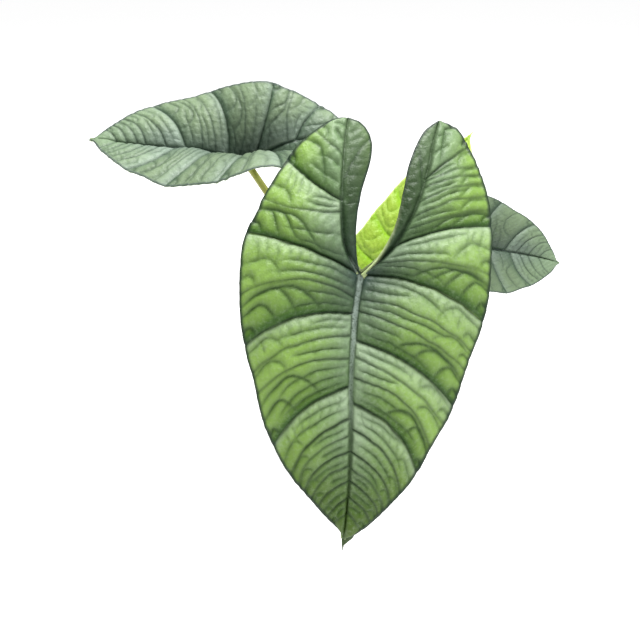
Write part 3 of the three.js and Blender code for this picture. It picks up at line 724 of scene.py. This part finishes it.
def drip_tip(leaf, start, way):
    """A flat spike that carries on the blade's tip, wider on one side of the midrib, narrows to
    a hair and hangs a little as it goes."""
    hair, scale = leaf["hair"], leaf["scale"]
    x = np.linspace(-DRIP_ROOT / hair, 1, 20)
    place = np.where(x < 0, x * hair / DRIP_ROOT, x)
    centres = start + hair * scale * (
        unit(way) * x[:, None] + DRIP_HANG * np.clip(x, 0, 1)[:, None] ** 2)
    slim = np.interp(place, DRIP_PLACES, DRIP_SLIM)
    full = np.interp(place, DRIP_PLACES, DRIP_FULL) if leaf["lean"] else slim
    size = scale * min(1, hair / DRIP_USUAL_HAIR)
    across = unit(np.cross(leaf["up_way"], unit(leaf["tip_way"])))
    centres = centres + across * (leaf["lean"] * size * (full - slim) / 2)[:, None]
    thick = np.interp(place, list(DRIP_THICK), list(DRIP_THICK.values())) * scale
    return tube(centres, size * (full + slim) / 2, across, thick, 14)


# Sizes of the pot, the mix, the corm and the stalks

POT_HEIGHT = 125
POT_BASE_RADIUS = 50
POT_SHOULDER_RADIUS = 67.5
POT_SHOULDER_Z = 112
POT_RIM_RADIUS = 71.5
POT_WALL = 1.8
POT_FLOOR = 2.6
POT_SIDES = 128
DRAIN_HOLES = 8
DRAIN_RING = 36
DRAIN_RADIUS = 5
HUB_RADIUS = 18
BASE_Z = .3
SOIL_TOP = 111
SOIL_EDGE_Z = SOIL_TOP - 4
SOIL_LUMP = 1.6
CORM_RADIUS = 16.5
CORM_FOOT_Z = 72
CORM_TOP_Z = 106
STALK_SEAT_Z = 98
STALK_RING_RADIUS = 9.6
STALK_FOOT = {"deep": 2.7, "wide": 8.6}
STALK_SIDES = 40
# A stalk's radius at its foot and under its blade.
OUTER_RADII = (6, 3.4)
INNER_RADII = (4.8, 2.8)
# The shares of the way up between which a sheath becomes round.
SHEATH_END = (.02, .32)
# A stalk ends this far down the midrib from the junction, and its last part flares.
STALK_MEETS = 5
FLARE = .45
FLARE_REACH = 3.5
# Its top is held this far under the blade's middle, over this length.
LID_DROP = 3
LID_REACH = 40


# Stalks

def smooth(x, low, high):
    """Smoothstep of x from low to high."""
    t = np.clip((x - low) / (high - low), 0, 1)
    return t * t * (3 - 2 * t)


def stalk(name):
    """A leaf stalk: its section is carried along a cubic curve from the corm to the underside of
    the blade. The foot of an outer stalk is a crescent that sheathes what is inside it, and it
    grows round and slim on the way up. The last few millimetres flare into the blade and are
    held under its V-shaped underside."""
    spec, leaf = STALKS[name], LEAVES[name]
    outer = spec["base"] is not None
    around = np.radians(spec["base"] or 0)
    outward = np.array([np.cos(around), np.sin(around), 0])
    foot = outward * (STALK_RING_RADIUS if outer else 0) + [0, 0, STALK_SEAT_Z]
    way, up, across = leaf_ways(leaf)
    junction = np.asarray(leaf["junction"], float)
    top = junction + way * STALK_MEETS * leaf["scale"]
    arrival = top - unit(spec["arrival"]) * spec["reach"]
    knots = [foot, np.asarray(spec["rise"], float), arrival, top]
    t = DENSE[:, None]
    bend = ((1 - t) ** 3 * knots[0] + 3 * (1 - t) ** 2 * t * knots[1]
            + 3 * (1 - t) * t ** 2 * knots[2] + t ** 3 * knots[3])
    # The rings stand closer on the last few millimetres.
    share = np.concatenate([np.linspace(0, .97, 110), np.linspace(.97, 1, 14)[1:]])
    centres = along(measured(bend), share)
    tangent = np.gradient(centres, axis=0)
    tangent /= np.linalg.norm(tangent, axis=1)[:, None]
    depth_way = outward - tangent * (tangent @ outward)[:, None]
    depth_way /= np.linalg.norm(depth_way, axis=1)[:, None]
    width_way = np.cross(tangent, depth_way)
    thick, thin = OUTER_RADII if outer else INNER_RADII
    rounding = smooth(share, *SHEATH_END) if outer else np.ones(len(share))
    radius = thick + (thin - thick) * np.sqrt(share)
    left = np.linalg.norm(centres - top, axis=1)
    flare = 1 + FLARE * np.exp(-left / FLARE_REACH)
    deep, wide = STALK_FOOT["deep"], STALK_FOOT["wide"]
    depth = (deep + (radius - deep) * rounding) * flare
    width = (wide + (radius - wide) * rounding) * flare
    hug = (1 - rounding) / (2 * STALK_RING_RADIUS)
    angle = np.linspace(0, 2 * np.pi, STALK_SIDES, endpoint=False)
    ripple = 1 + .012 * np.sin(9 * angle + 1) + .01 * np.sin(13 * angle)
    sideways = width[:, None] * np.sin(angle) * ripple
    outwards = depth[:, None] * np.cos(angle) * ripple - hug[:, None] * sideways ** 2
    rings = (centres[:, None] + outwards[..., None] * depth_way[:, None]
             + sideways[..., None] * width_way[:, None])
    relative = rings - junction
    slope = np.tan(np.radians(min(leaf["rise"][0] + leaf["cup"][0][0],
                                  leaf["rise"][1] + leaf["cup"][1][0])))
    lid = np.abs(relative @ across) * slope - LID_DROP * leaf["scale"]
    over = np.maximum(relative @ up - lid, 0) * (left < LID_REACH)[:, None]
    rings = rings - over[..., None] * up
    points, faces = skinned(rings, centres[0], rings[-1].mean(0))
    height = np.append(np.repeat(share, len(angle)), [0, 1])
    return points, faces, {"height": height}


# Corm, mix and pot

def rings_of(profile, sides, relief=None):
    """A radius and height profile turned round Z, as a grid. relief adds to the radius."""
    profile = np.asarray(profile, float)
    angle = np.linspace(0, 2 * np.pi, sides, endpoint=False)
    radius = np.repeat(profile[:, :1], sides, 1)
    height = np.repeat(profile[:, 1:], sides, 1)
    if relief is not None:
        radius = radius + relief(angle[None], height)
    return np.stack([radius * np.cos(angle), radius * np.sin(angle), height], -1)


def lathe(profile, sides, relief=None):
    """A profile turned round Z as a closed surface, with a pole at both ends."""
    rings = rings_of(profile, sides, relief)
    return skinned(rings, (0, 0, profile[0][1]), (0, 0, profile[-1][1]))


def looped(rings, turn):
    """A grid of rings that closes on itself both ways."""
    rows, sides = rings.shape[:2]
    index = np.arange(rows * sides).reshape(rows, sides)
    index = np.concatenate([index, index[:1]])
    index = np.concatenate([index, index[:, :1]], 1)
    return rings.reshape(-1, 3), triangles_of(index, turn)


def smoothed(profile, steps):
    """A profile sampled evenly along its length."""
    return along(measured(np.asarray(profile, float)), np.linspace(0, 1, steps))


def corm():
    """A squat corm: a rounded profile turned round Z. Leaf-scar rings are the size of a sine of
    the height that wavers round it, and fibres are a product of two sines of angle and height."""
    r, foot, top = CORM_RADIUS, CORM_FOOT_Z, CORM_TOP_Z
    profile = smoothed([
        (.02, foot), (.55 * r, foot), (.9 * r, foot + 7), (r, foot + 16), (.96 * r, top - 10),
        (.8 * r, top - 5.5), (.5 * r, top - 4.2), (.02, top - 4),
    ], 70)

    def relief(angle, height):
        rings = .35 * np.abs(np.sin(height * .75 + .4 * np.sin(3 * angle)))
        fibres = .14 * np.sin(31 * angle + height * .2) * np.sin(17 * angle - height * .3)
        return (-.5 + rings + fibres) * smooth(height, foot, foot + 4)

    return lathe(profile, 96, relief)


BIT_SIDES = 7
BIT_RINGS = 4
BIT_LIFT = .25
BIT_TILT = .45
# Each layer of crumbs on the mix: size, spacing and seed.
CRUMBS = [(.45, 5, 31), (.3, 2.4, 32)]


def wall_at(z):
    """Inner radius of the pot at a height."""
    share = (z - POT_FLOOR) / (POT_SHOULDER_Z - 1 - POT_FLOOR)
    return POT_BASE_RADIUS + (POT_SHOULDER_RADIUS - POT_BASE_RADIUS) * share - POT_WALL


def soil_height(x, y):
    """Top of the mix: the level, long lumps of sine waves and crumbs of finer noise."""
    lump = np.sin(x / 7 + 1) * np.cos(y / 6) + .6 * np.sin(x / 3.1 - y / 4.3)
    flat = np.stack([x, y], -1)
    height = SOIL_TOP + SOIL_LUMP * lump
    for size, spacing, seed in CRUMBS:
        height = height + size * waves(flat, spacing, seed)
    return height


def soil():
    """The mix as one closed body: rings run up the wall, over the crumbly top and down round the
    hole for the corm."""
    rim = wall_at(SOIL_EDGE_Z) - .5
    foot = POT_FLOOR + .5
    hole = CORM_RADIUS + .4
    side = [(.01, foot), (wall_at(foot) - .5, foot), (wall_at(60) - .5, 60), (rim, SOIL_EDGE_Z),
            (rim - .6, SOIL_TOP - 2)]
    over = [(r, SOIL_TOP) for r in np.linspace(rim - 1.5, hole + .6, 56)]
    down = [(hole, SOIL_TOP - 1.5), (hole, CORM_FOOT_Z - .4), (.01, CORM_FOOT_Z - .4)]
    rings = rings_of([*side, *over, *down], 220)
    top = slice(len(side), len(side) + len(over))
    rings[top, :, 2] = soil_height(rings[top, :, 0], rings[top, :, 1])
    return skinned(rings, (0, 0, foot), (0, 0, CORM_FOOT_Z - .4))


def lumps(count, sizes, stretch, seed, roughness):
    """Loose bits on top of the mix: small spheres of a few rings, squashed by stretch, turned at
    random, roughened by noise and set into the surface."""
    rng = np.random.default_rng(seed)
    angle = np.linspace(0, 2 * np.pi, BIT_SIDES, endpoint=False)
    lift = np.linspace(-1, 1, BIT_RINGS + 2)[1:-1] * np.pi / 2
    ball = np.stack([
        np.cos(lift)[:, None] * np.cos(angle), np.cos(lift)[:, None] * np.sin(angle),
        np.repeat(np.sin(lift)[:, None], BIT_SIDES, 1),
    ], -1)
    points, faces = skinned(ball, (0, 0, -1), (0, 0, 1))
    each = len(points)
    far = wall_at(SOIL_EDGE_Z) - 5
    near = CORM_RADIUS + 2.5
    radius = np.sqrt(rng.uniform(near ** 2, far ** 2, count))
    around = rng.uniform(0, 2 * np.pi, count)
    x, y = radius * np.cos(around), radius * np.sin(around)
    size = rng.uniform(*sizes, count)
    form = 1 + roughness * rng.uniform(-1, 1, (count, each, 1))
    shape = points[None] * form * (size[:, None] * rng.uniform(*stretch, (count, 3)))[:, None]
    tilt = rng.normal(0, BIT_TILT, (count, 3))
    tilt[:, 2] = rng.uniform(0, 2 * np.pi, count)
    shape = np.einsum("nij,nkj->nki", turns(tilt), shape)
    place = np.stack([x, y, soil_height(x, y) + BIT_LIFT * size], -1)
    all_points = (shape + place[:, None]).reshape(-1, 3)
    all_faces = (faces[None] + each * np.arange(count)[:, None, None]).reshape(-1, 3)
    tone = np.repeat(rng.uniform(0, 1, count), each)
    return all_points, all_faces, {"tone": tone}


def turns(angles):
    """Rotation matrices for turns about X, then Y, then Z."""
    (a, b, c), (x, y, z) = np.cos(angles).T, np.sin(angles).T
    zero, one = np.zeros(len(a)), np.ones(len(a))

    def stack(rows):
        return np.stack([np.stack(row, -1) for row in rows], -2)

    turn_x = stack([(one, zero, zero), (zero, a, -x), (zero, x, a)])
    turn_y = stack([(b, zero, y), (zero, one, zero), (-y, zero, b)])
    turn_z = stack([(c, -z, zero), (z, c, zero), (zero, zero, one)])
    return turn_z @ turn_y @ turn_x


def pot_wall():
    """The pot's wall as a closed ring: a tapered outside with a rounded foot, a shoulder and a
    rolled rim, and the inside a wall's thickness away."""
    foot, shoulder, rim = POT_BASE_RADIUS, POT_SHOULDER_RADIUS, POT_RIM_RADIUS
    return looped(rings_of([
        (foot - 4, .15), (foot - 1.5, 0), (foot - .4, .5), (foot, 1.5), (foot + 1.1, 8.3),
        (shoulder - .4, POT_SHOULDER_Z - 1.6), (shoulder, POT_SHOULDER_Z),
        (rim - 1.6, POT_SHOULDER_Z + .5), (rim - .7, POT_SHOULDER_Z + 1.3),
        (rim - .25, POT_SHOULDER_Z + 3), (rim, POT_HEIGHT - 2), (rim - .3, POT_HEIGHT - .7),
        (rim - 1, POT_HEIGHT - .05), (rim - 1.9, POT_HEIGHT - .2), (rim - 2.4, POT_HEIGHT - 1),
        (shoulder - POT_WALL + 1, POT_SHOULDER_Z + 1.5),
        (shoulder - POT_WALL, POT_SHOULDER_Z - 1), (foot - POT_WALL, POT_FLOOR),
        (foot - 4, POT_FLOOR - .1),
    ], POT_SIDES), 1)


def pot_base():
    """The pot's base plate: one sector for each drain hole, whose cells run from the hole's edge
    out to the sector's edge, the same above and below, with a plain hub in the middle."""
    half = np.pi / DRAIN_HOLES
    angle = np.linspace(0, 2 * np.pi, 48, endpoint=False)
    way = np.stack([np.cos(angle), np.sin(angle)], -1)
    centre = np.array([DRAIN_RING, 0.])
    inward = way @ centre
    with np.errstate(divide="ignore", invalid="ignore"):
        runs = [-(centre @ normal) / (way @ normal) for normal in (
            np.array([-np.sin(half), np.cos(half)]), np.array([np.sin(half), np.cos(half)]))]
    sides = [np.where(run > 0, run, np.inf) for run in runs]
    reach = POT_BASE_RADIUS - 3
    far = -inward + np.sqrt(inward ** 2 + reach ** 2 - DRAIN_RING ** 2)
    inside = inward ** 2 + HUB_RADIUS ** 2 - DRAIN_RING ** 2
    near = np.where((inside > 0) & (inward < 0),
                    -inward - np.sqrt(np.maximum(inside, 0)), np.inf)
    out = np.minimum.reduce([*sides, far, near])
    run = DRAIN_RADIUS + (out - DRAIN_RADIUS) * np.linspace(0, 1, 5)[:, None]
    flat = centre + run[..., None] * way
    plates = []
    for k in range(DRAIN_HOLES):
        turn = 2 * half * k
        matrix = np.array([[np.cos(turn), np.sin(turn)], [-np.sin(turn), np.cos(turn)]])
        grid = flat @ matrix
        under, over = (np.full(grid.shape[:2] + (1,), z) for z in (BASE_Z, POT_FLOOR - .05))
        plates.append(looped(np.concatenate([
            np.concatenate([grid, under], -1)[::-1], np.concatenate([grid, over], -1),
        ]), -1))
    hub, top = HUB_RADIUS + .4, POT_FLOOR - .1
    plates.append(lathe([(.01, BASE_Z), (hub, BASE_Z), (hub, top), (.01, top)], 96))
    return joined(plates)


def joined(parts):
    """Several closed surfaces as one list of points and triangles."""
    starts = np.cumsum([0, *(len(points) for points, _ in parts)])
    return (np.concatenate([points for points, _ in parts]),
            np.concatenate([faces + start for (_, faces), start in zip(parts, starts)]))


# Shader expressions

class Value:
    """A number socket that takes part in Python expressions, each operator one Math node."""

    def __init__(self, paint, socket):
        self.paint = paint
        self.socket = socket

    def maths(self, operation, first, second):
        node = self.paint.node("ShaderNodeMath", {"operation": operation}, {0: first, 1: second})
        return Value(self.paint, node.outputs[0])

    def __add__(self, other):
        return self.maths("ADD", self, other)

    def __sub__(self, other):
        return self.maths("SUBTRACT", self, other)

    def __rsub__(self, other):
        return self.maths("SUBTRACT", other, self)

    def __mul__(self, other):
        return self.maths("MULTIPLY", self, other)

    __radd__ = __add__
    __rmul__ = __mul__


class Paint:
    """One material's nodes."""

    def __init__(self, name, **constants):
        self.material = bpy.data.materials.new(name)
        self.material.use_nodes = True
        self.tree = self.material.node_tree
        self.shader = self.tree.nodes["Principled BSDF"]
        for socket, value in constants.items():
            self.shader.inputs[socket.replace("_", " ")].default_value = value

    def node(self, kind, settings, sockets):
        """A node of that type: its settings first, then each socket's value or link."""
        node = self.tree.nodes.new(kind)
        for name, value in settings.items():
            setattr(node, name, value)
        for key, value in sockets.items():
            if isinstance(value, Value):
                value = value.socket
            if isinstance(value, bpy.types.NodeSocket):
                self.tree.links.new(value, node.inputs[key])
            else:
                node.inputs[key].default_value = value
        return node

    def attribute(self, name):
        node = self.node("ShaderNodeAttribute", {"attribute_name": name}, {})
        return Value(self, node.outputs["Fac"])

    def place(self):
        return self.node("ShaderNodeTexCoord", {}, {}).outputs["Object"]

    def noise(self, scale, detail=2, rough=.5, stretch=None):
        vector = self.place()
        if stretch:
            vector = self.node("ShaderNodeMapping", {}, {"Vector": vector, "Scale": stretch})
            vector = vector.outputs["Vector"]
        node = self.node("ShaderNodeTexNoise", {}, {
            "Vector": vector, "Scale": scale, "Detail": detail, "Roughness": rough})
        return Value(self, node.outputs["Fac"])

    def cells(self, scale):
        node = self.node("ShaderNodeTexVoronoi", {"feature": "F1"}, {
            "Vector": self.place(), "Scale": scale})
        return Value(self, node.outputs["Distance"])

    def mix(self, factor, first, second):
        """Second over first by factor, which the node holds between 0 and 1. Inputs 6 and 7 and
        output 2 are the colour ones."""
        node = self.node("ShaderNodeMix", {"data_type": "RGBA", "clamp_factor": True},
                         {0: factor, 6: first, 7: second})
        return node.outputs[2]

    def finish(self, colour, roughness, height=None, strength=.3, distance=.0006):
        links = {"Base Color": colour, "Roughness": roughness}
        if height is not None:
            bump = self.node("ShaderNodeBump", {}, {
                "Height": height, "Strength": strength, "Distance": distance})
            links["Normal"] = bump.outputs["Normal"]
        for key, value in links.items():
            value = value.socket if isinstance(value, Value) else value
            if isinstance(value, bpy.types.NodeSocket):
                self.tree.links.new(value, self.shader.inputs[key])
            else:
                self.shader.inputs[key].default_value = value
        return self.material


def colour(red, green, blue):
    """A display colour of 0 to 255 as linear light."""
    c = np.array([red, green, blue]) / 255
    return (*np.where(c <= .04045, c / 12.92, ((c + .055) / 1.055) ** 2.4), 1)


def leaf_finish(name, tones):
    """Leathery blade: green to silver with painted sheen by the quilt, painted shade lobeward of
    the major veins, in the vein grooves, in the funnel and by the notch, darker toward the tip,
    slate ribs and rim, dark sunken veins, a pale matte underside and a fine pebbled grain."""
    paint = Paint(name, Specular_IOR_Level=.3)
    vein, rib, rim = (paint.attribute(key) for key in ("vein", "rib", "rim"))
    silver_and_painted_sheen, shade, hub = (paint.attribute(key) for key in ("silver_and_painted_sheen", "shade", "hub"))
    far, under, strip = (paint.attribute(key) for key in ("far", "under", "strip"))
    cloud = paint.noise(28, 3)
    grain = paint.noise(650, 2)
    pebble = paint.noise(330, 3, .6)
    depth = paint.attribute("depth")
    outer = far * 2.1 - .25 + (cloud - .5) * 1.1
    body = paint.mix(outer, tones["near"], tones["far"])
    # Painted shade and deeper green just lobeward of each major vein, stronger toward the margin.
    body = paint.mix(shade * (.55 + far * 1.2), body, tones["deep"])
    # Toward the tip: darker, more saturated green on the front blade, partly painted shade where it
    # curls under.
    body = paint.mix(paint.attribute("tip") * .95, body, tones["tip"])
    # Silver colour with painted sheen, flecked with painted glints by the pebbled noise.
    body = paint.mix(silver_and_painted_sheen * .85 + (pebble - .5) * .8, body, tones["silver_and_painted_sheen"])
    # Painted shade on the strips by the notch.
    body = paint.mix(strip * .95, body, tones["strip"])
    # Painted shade in the vein grooves, the deeper the darker.
    body = paint.mix(depth * .9, body, tones["painted_groove_shade"])
    # Dark middle: dark green with painted shade in the funnel round the junction.
    body = paint.mix(hub * 1.1, body, tones["hub"])
    body = paint.mix(vein * .9, body, tones["vein"])
    fleck = (paint.noise(900, 2) - .56) * 9
    body = paint.mix(rib, body, paint.mix(fleck, tones["rib"], tones["vein"]))
    body = paint.mix(rim * .95, body, tones["rim"])
    body = paint.mix(paint.attribute("glow") * .9, body, tones["glow"])
    back = paint.mix(cloud, tones["back"], tones["back_far"])
    back = paint.mix(vein * .6 + rib * .8, back, tones["back_vein"])
    body = paint.mix(under, body, back)
    rough = .47 + (grain - .5) * .4 + under * .2
    height = pebble * 1.6 + grain * .7 + cloud * .5
    return paint.finish(body, rough, height, strength=.55, distance=.0008)


# Blade tones. The silver one is silver colour with painted sheen; the deep, groove, strip and hub
# ones carry painted shade, the deep and hub ones with darker green as well; on the front blade the
# tip one is darker green with painted shade.
fresh_tones = {
    "near": colour(122, 146, 108), "far": colour(132, 166, 78), "deep": colour(52, 90, 12),
    "painted_groove_shade": colour(56, 88, 34), "silver_and_painted_sheen": colour(170, 190, 158), "hub": colour(40, 58, 52),
    "vein": colour(22, 42, 22), "rib": colour(128, 142, 132), "rim": colour(24, 44, 30),
    "back": colour(146, 168, 124), "back_far": colour(130, 154, 106),
    "back_vein": colour(170, 182, 130), "glow": colour(206, 224, 160),
    "tip": colour(64, 90, 4), "strip": colour(34, 56, 22),
}
grey_tones = {
    **fresh_tones, "near": colour(106, 122, 108), "far": colour(126, 146, 112),
    "deep": colour(76, 98, 74), "painted_groove_shade": colour(58, 78, 60), "silver_and_painted_sheen": colour(152, 170, 154),
    "hub": colour(28, 44, 36), "vein": colour(34, 54, 40), "rib": colour(66, 82, 76),
    "rim": colour(70, 84, 76), "tip": colour(124, 146, 114), "strip": colour(100, 122, 98),
}
young_tones = {
    "near": colour(144, 176, 52), "far": colour(154, 182, 66), "deep": colour(134, 178, 26),
    "painted_groove_shade": colour(122, 160, 36), "silver_and_painted_sheen": colour(176, 204, 98), "hub": colour(170, 194, 88),
    "vein": colour(134, 172, 44), "rib": colour(196, 218, 116), "rim": colour(200, 222, 134),
    "back": colour(176, 208, 96), "back_far": colour(166, 200, 84),
    "back_vein": colour(196, 218, 130), "glow": colour(212, 232, 150),
    "tip": colour(146, 174, 60), "strip": colour(158, 190, 60),
}


def stalk_finish():
    """Waxy olive stalk with fine lengthwise streaks, browner in the sheath."""
    paint = Paint("waxy_stalk", Specular_IOR_Level=.5)
    height = paint.attribute("height")
    streak = paint.noise(260, 3, .6, (1, 1, .12))
    body = paint.mix(streak, colour(134, 132, 58), colour(166, 166, 84))
    foot = paint.mix(streak, colour(116, 96, 52), colour(150, 140, 70))
    body = paint.mix(height * 3.2, foot, body)
    return paint.finish(body, .38 + streak * .15, streak, strength=.2, distance=.0004)


def corm_finish():
    """Dry brown corm: upright fibres over darker lumps."""
    paint = Paint("fibrous_corm")
    fibre = paint.noise(420, 4, .65, (1, 1, .2))
    lump = paint.noise(90, 3)
    body = paint.mix(fibre, colour(86, 58, 38), colour(150, 112, 76))
    body = paint.mix(lump * 1.6 - .5, body, colour(62, 44, 32))
    return paint.finish(body, .8, fibre + lump, strength=.6, distance=.001)


def soil_finish():
    """Dark damp mix: fine grain, damp patches and crumbs raised as rounded cells."""
    paint = Paint("crumbly_mix")
    crumb = paint.cells(520)
    damp = paint.noise(40, 3)
    fine = paint.noise(900, 3)
    body = paint.mix(fine, colour(34, 24, 18), colour(78, 56, 40))
    body = paint.mix(damp * 1.4 - .45, body, colour(46, 34, 26))
    return paint.finish(body, .92, crumb + fine * .7, strength=.8, distance=.0015)


def bit_finish(name, low, high, rough, grain):
    """Loose bits: each has its own tone between two colours, with grain."""
    paint = Paint(name)
    tone = paint.attribute("tone")
    speck = paint.noise(grain, 3)
    body = paint.mix(tone * .75 + (speck - .5) * .7, low, high)
    return paint.finish(body, rough, speck, strength=.5, distance=.0008)


def pot_finish():
    """Charcoal moulded plastic: a fine mould texture and light scuffs and dust spread at random."""
    paint = Paint("moulded_charcoal", Specular_IOR_Level=.4)
    grain = paint.noise(1400, 2)
    scuff = paint.noise(60, 5, .7)
    body = paint.mix(scuff * 2.2 - .95, colour(44, 46, 47), colour(70, 71, 70))
    rough = .52 + (scuff - .5) * .25 + (grain - .5) * .12
    return paint.finish(body, rough, grain, strength=.25, distance=.0003)


# Pieces

def add_piece(name, points, faces, values, material, slot, *nodes):
    """A mesh object at the origin, its place in its vertices, tied to the frame."""
    mesh = bpy.data.meshes.new(name)
    mesh.vertices.add(len(points))
    mesh.vertices.foreach_set("co", (np.asarray(points) * MM).astype(np.float32).ravel())
    mesh.loops.add(3 * len(faces))
    mesh.loops.foreach_set("vertex_index", np.asarray(faces, np.int32).ravel())
    mesh.polygons.add(len(faces))
    mesh.polygons.foreach_set("loop_start", np.arange(0, 3 * len(faces), 3, dtype=np.int32))
    mesh.polygons.foreach_set("use_smooth", np.ones(len(faces), bool))
    mesh.update(calc_edges=True)
    mesh.validate()
    for key, value in values.items():
        layer = mesh.attributes.new(key, "FLOAT", "POINT")
        layer.data.foreach_set("value", np.asarray(value, np.float32))
    mesh.materials.append(material)
    piece = bpy.data.objects.new(name, mesh)
    bpy.context.scene.collection.objects.link(piece)
    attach(piece, "root")
    if nodes:
        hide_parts(*nodes)
    return piece


fresh, grey, young = (leaf_finish(name, tones) for name, tones in (
    ("silver_green_blade", fresh_tones), ("grey_green_blade", grey_tones),
    ("lime_young_blade", young_tones)))
blade_finishes = {"front": fresh, "left": grey, "right": grey, "young": young}
waxy = stalk_finish()
for name, leaf in LEAVES.items():
    add_piece(f"blade_{name}", *blade(leaf), blade_finishes[name],
              "leaf_young" if name == "young" else "leaf_mature", f"leaf_{name}")
    add_piece(f"stalk_{name}", *stalk(name), waxy, "petiole", f"petiole_{name}")
add_piece("ringed_corm", *corm(), {}, corm_finish(), "corm", "corm")
add_piece("crumbly_soil", *soil(), {}, soil_finish(), "soil", "soil")
bark = bit_finish("bark", colour(58, 38, 26), colour(128, 88, 58), rough=.85, grain=500)
add_piece("bark_bits", *lumps(330, sizes=(1.6, 4.2), stretch=(.5, 1.1), seed=41, roughness=.22),
          bark, "soil")
white = bit_finish("perlite", colour(196, 194, 186), colour(232, 230, 224), rough=.8, grain=900)
add_piece("perlite_bits", *lumps(110, sizes=(.9, 1.9), stretch=(.7, 1.05), seed=43, roughness=.18),
          white, "soil")
add_piece("nursery_pot", *joined([pot_wall(), pot_base()]), {}, pot_finish(), "pot", "pot")


# Floor, light and camera

FLOOR_NEAR, FLOOR_FAR = -9, 12
FLOOR_SIDE = 9
FLOOR_GREY = (.9, .9, .9, 1)
FLOOR_GLOW = .6
STUDIO_LIGHT = .42
LIGHT_AIM = (0, 0, .25)
# The photo's view, which looks down by 30 degrees.
CAMERA_PLACE = (-.033, -.619, .528)
CAMERA_TILT = 60
CAMERA_LENS = 38
WHITE = (1, 1, 1, 1)


def add_floor():
    """A wide pale floor that glows a little, so that it stays white under the object."""
    paint = Paint("pale_floor", Emission_Strength=FLOOR_GLOW)
    paint.shader.inputs["Emission Color"].default_value = WHITE
    material = paint.finish(FLOOR_GREY, .9)
    mesh = bpy.data.meshes.new("floor")
    mesh.from_pydata([
        (-FLOOR_SIDE, FLOOR_NEAR, 0), (FLOOR_SIDE, FLOOR_NEAR, 0), (FLOOR_SIDE, FLOOR_FAR, 0),
        (-FLOOR_SIDE, FLOOR_FAR, 0),
    ], [], [(0, 1, 2, 3)])
    mesh.materials.append(material)
    floor = bpy.data.objects.new("floor", mesh)
    bpy.context.scene.collection.objects.link(floor)


def add_light(name, place, size, power):
    """A square soft light, its side in metres and its power in watts, that faces LIGHT_AIM."""
    lamp = bpy.data.lights.new(name, "AREA")
    lamp.size = size
    lamp.energy = power
    light = bpy.data.objects.new(name, lamp)
    light.location = place
    way = Vector(LIGHT_AIM) - Vector(place)
    light.rotation_euler = way.to_track_quat("-Z", "Y").to_euler()
    bpy.context.scene.collection.objects.link(light)


def add_world():
    """Even white light from all round."""
    world = bpy.data.worlds.new("studio")
    world.use_nodes = True
    background = world.node_tree.nodes["Background"]
    background.inputs["Color"].default_value = WHITE
    background.inputs["Strength"].default_value = STUDIO_LIGHT
    bpy.context.scene.world = world


def add_camera():
    """The camera, on a 36 mm sensor."""
    camera = bpy.data.objects.new("camera", bpy.data.cameras.new("camera"))
    camera.data.sensor_width = 36
    camera.data.lens = CAMERA_LENS
    camera.location = CAMERA_PLACE
    camera.rotation_euler = (np.radians(CAMERA_TILT), 0, 0)
    bpy.context.scene.collection.objects.link(camera)
    bpy.context.scene.camera = camera


add_floor()
add_world()
add_light("overhead", (.08, .1, 1.7), size=.7, power=36)
add_light("front_fill", (1, -1.3, 1.1), size=1.4, power=10)
add_camera()
bpy.context.scene.view_settings.view_transform = "Standard"
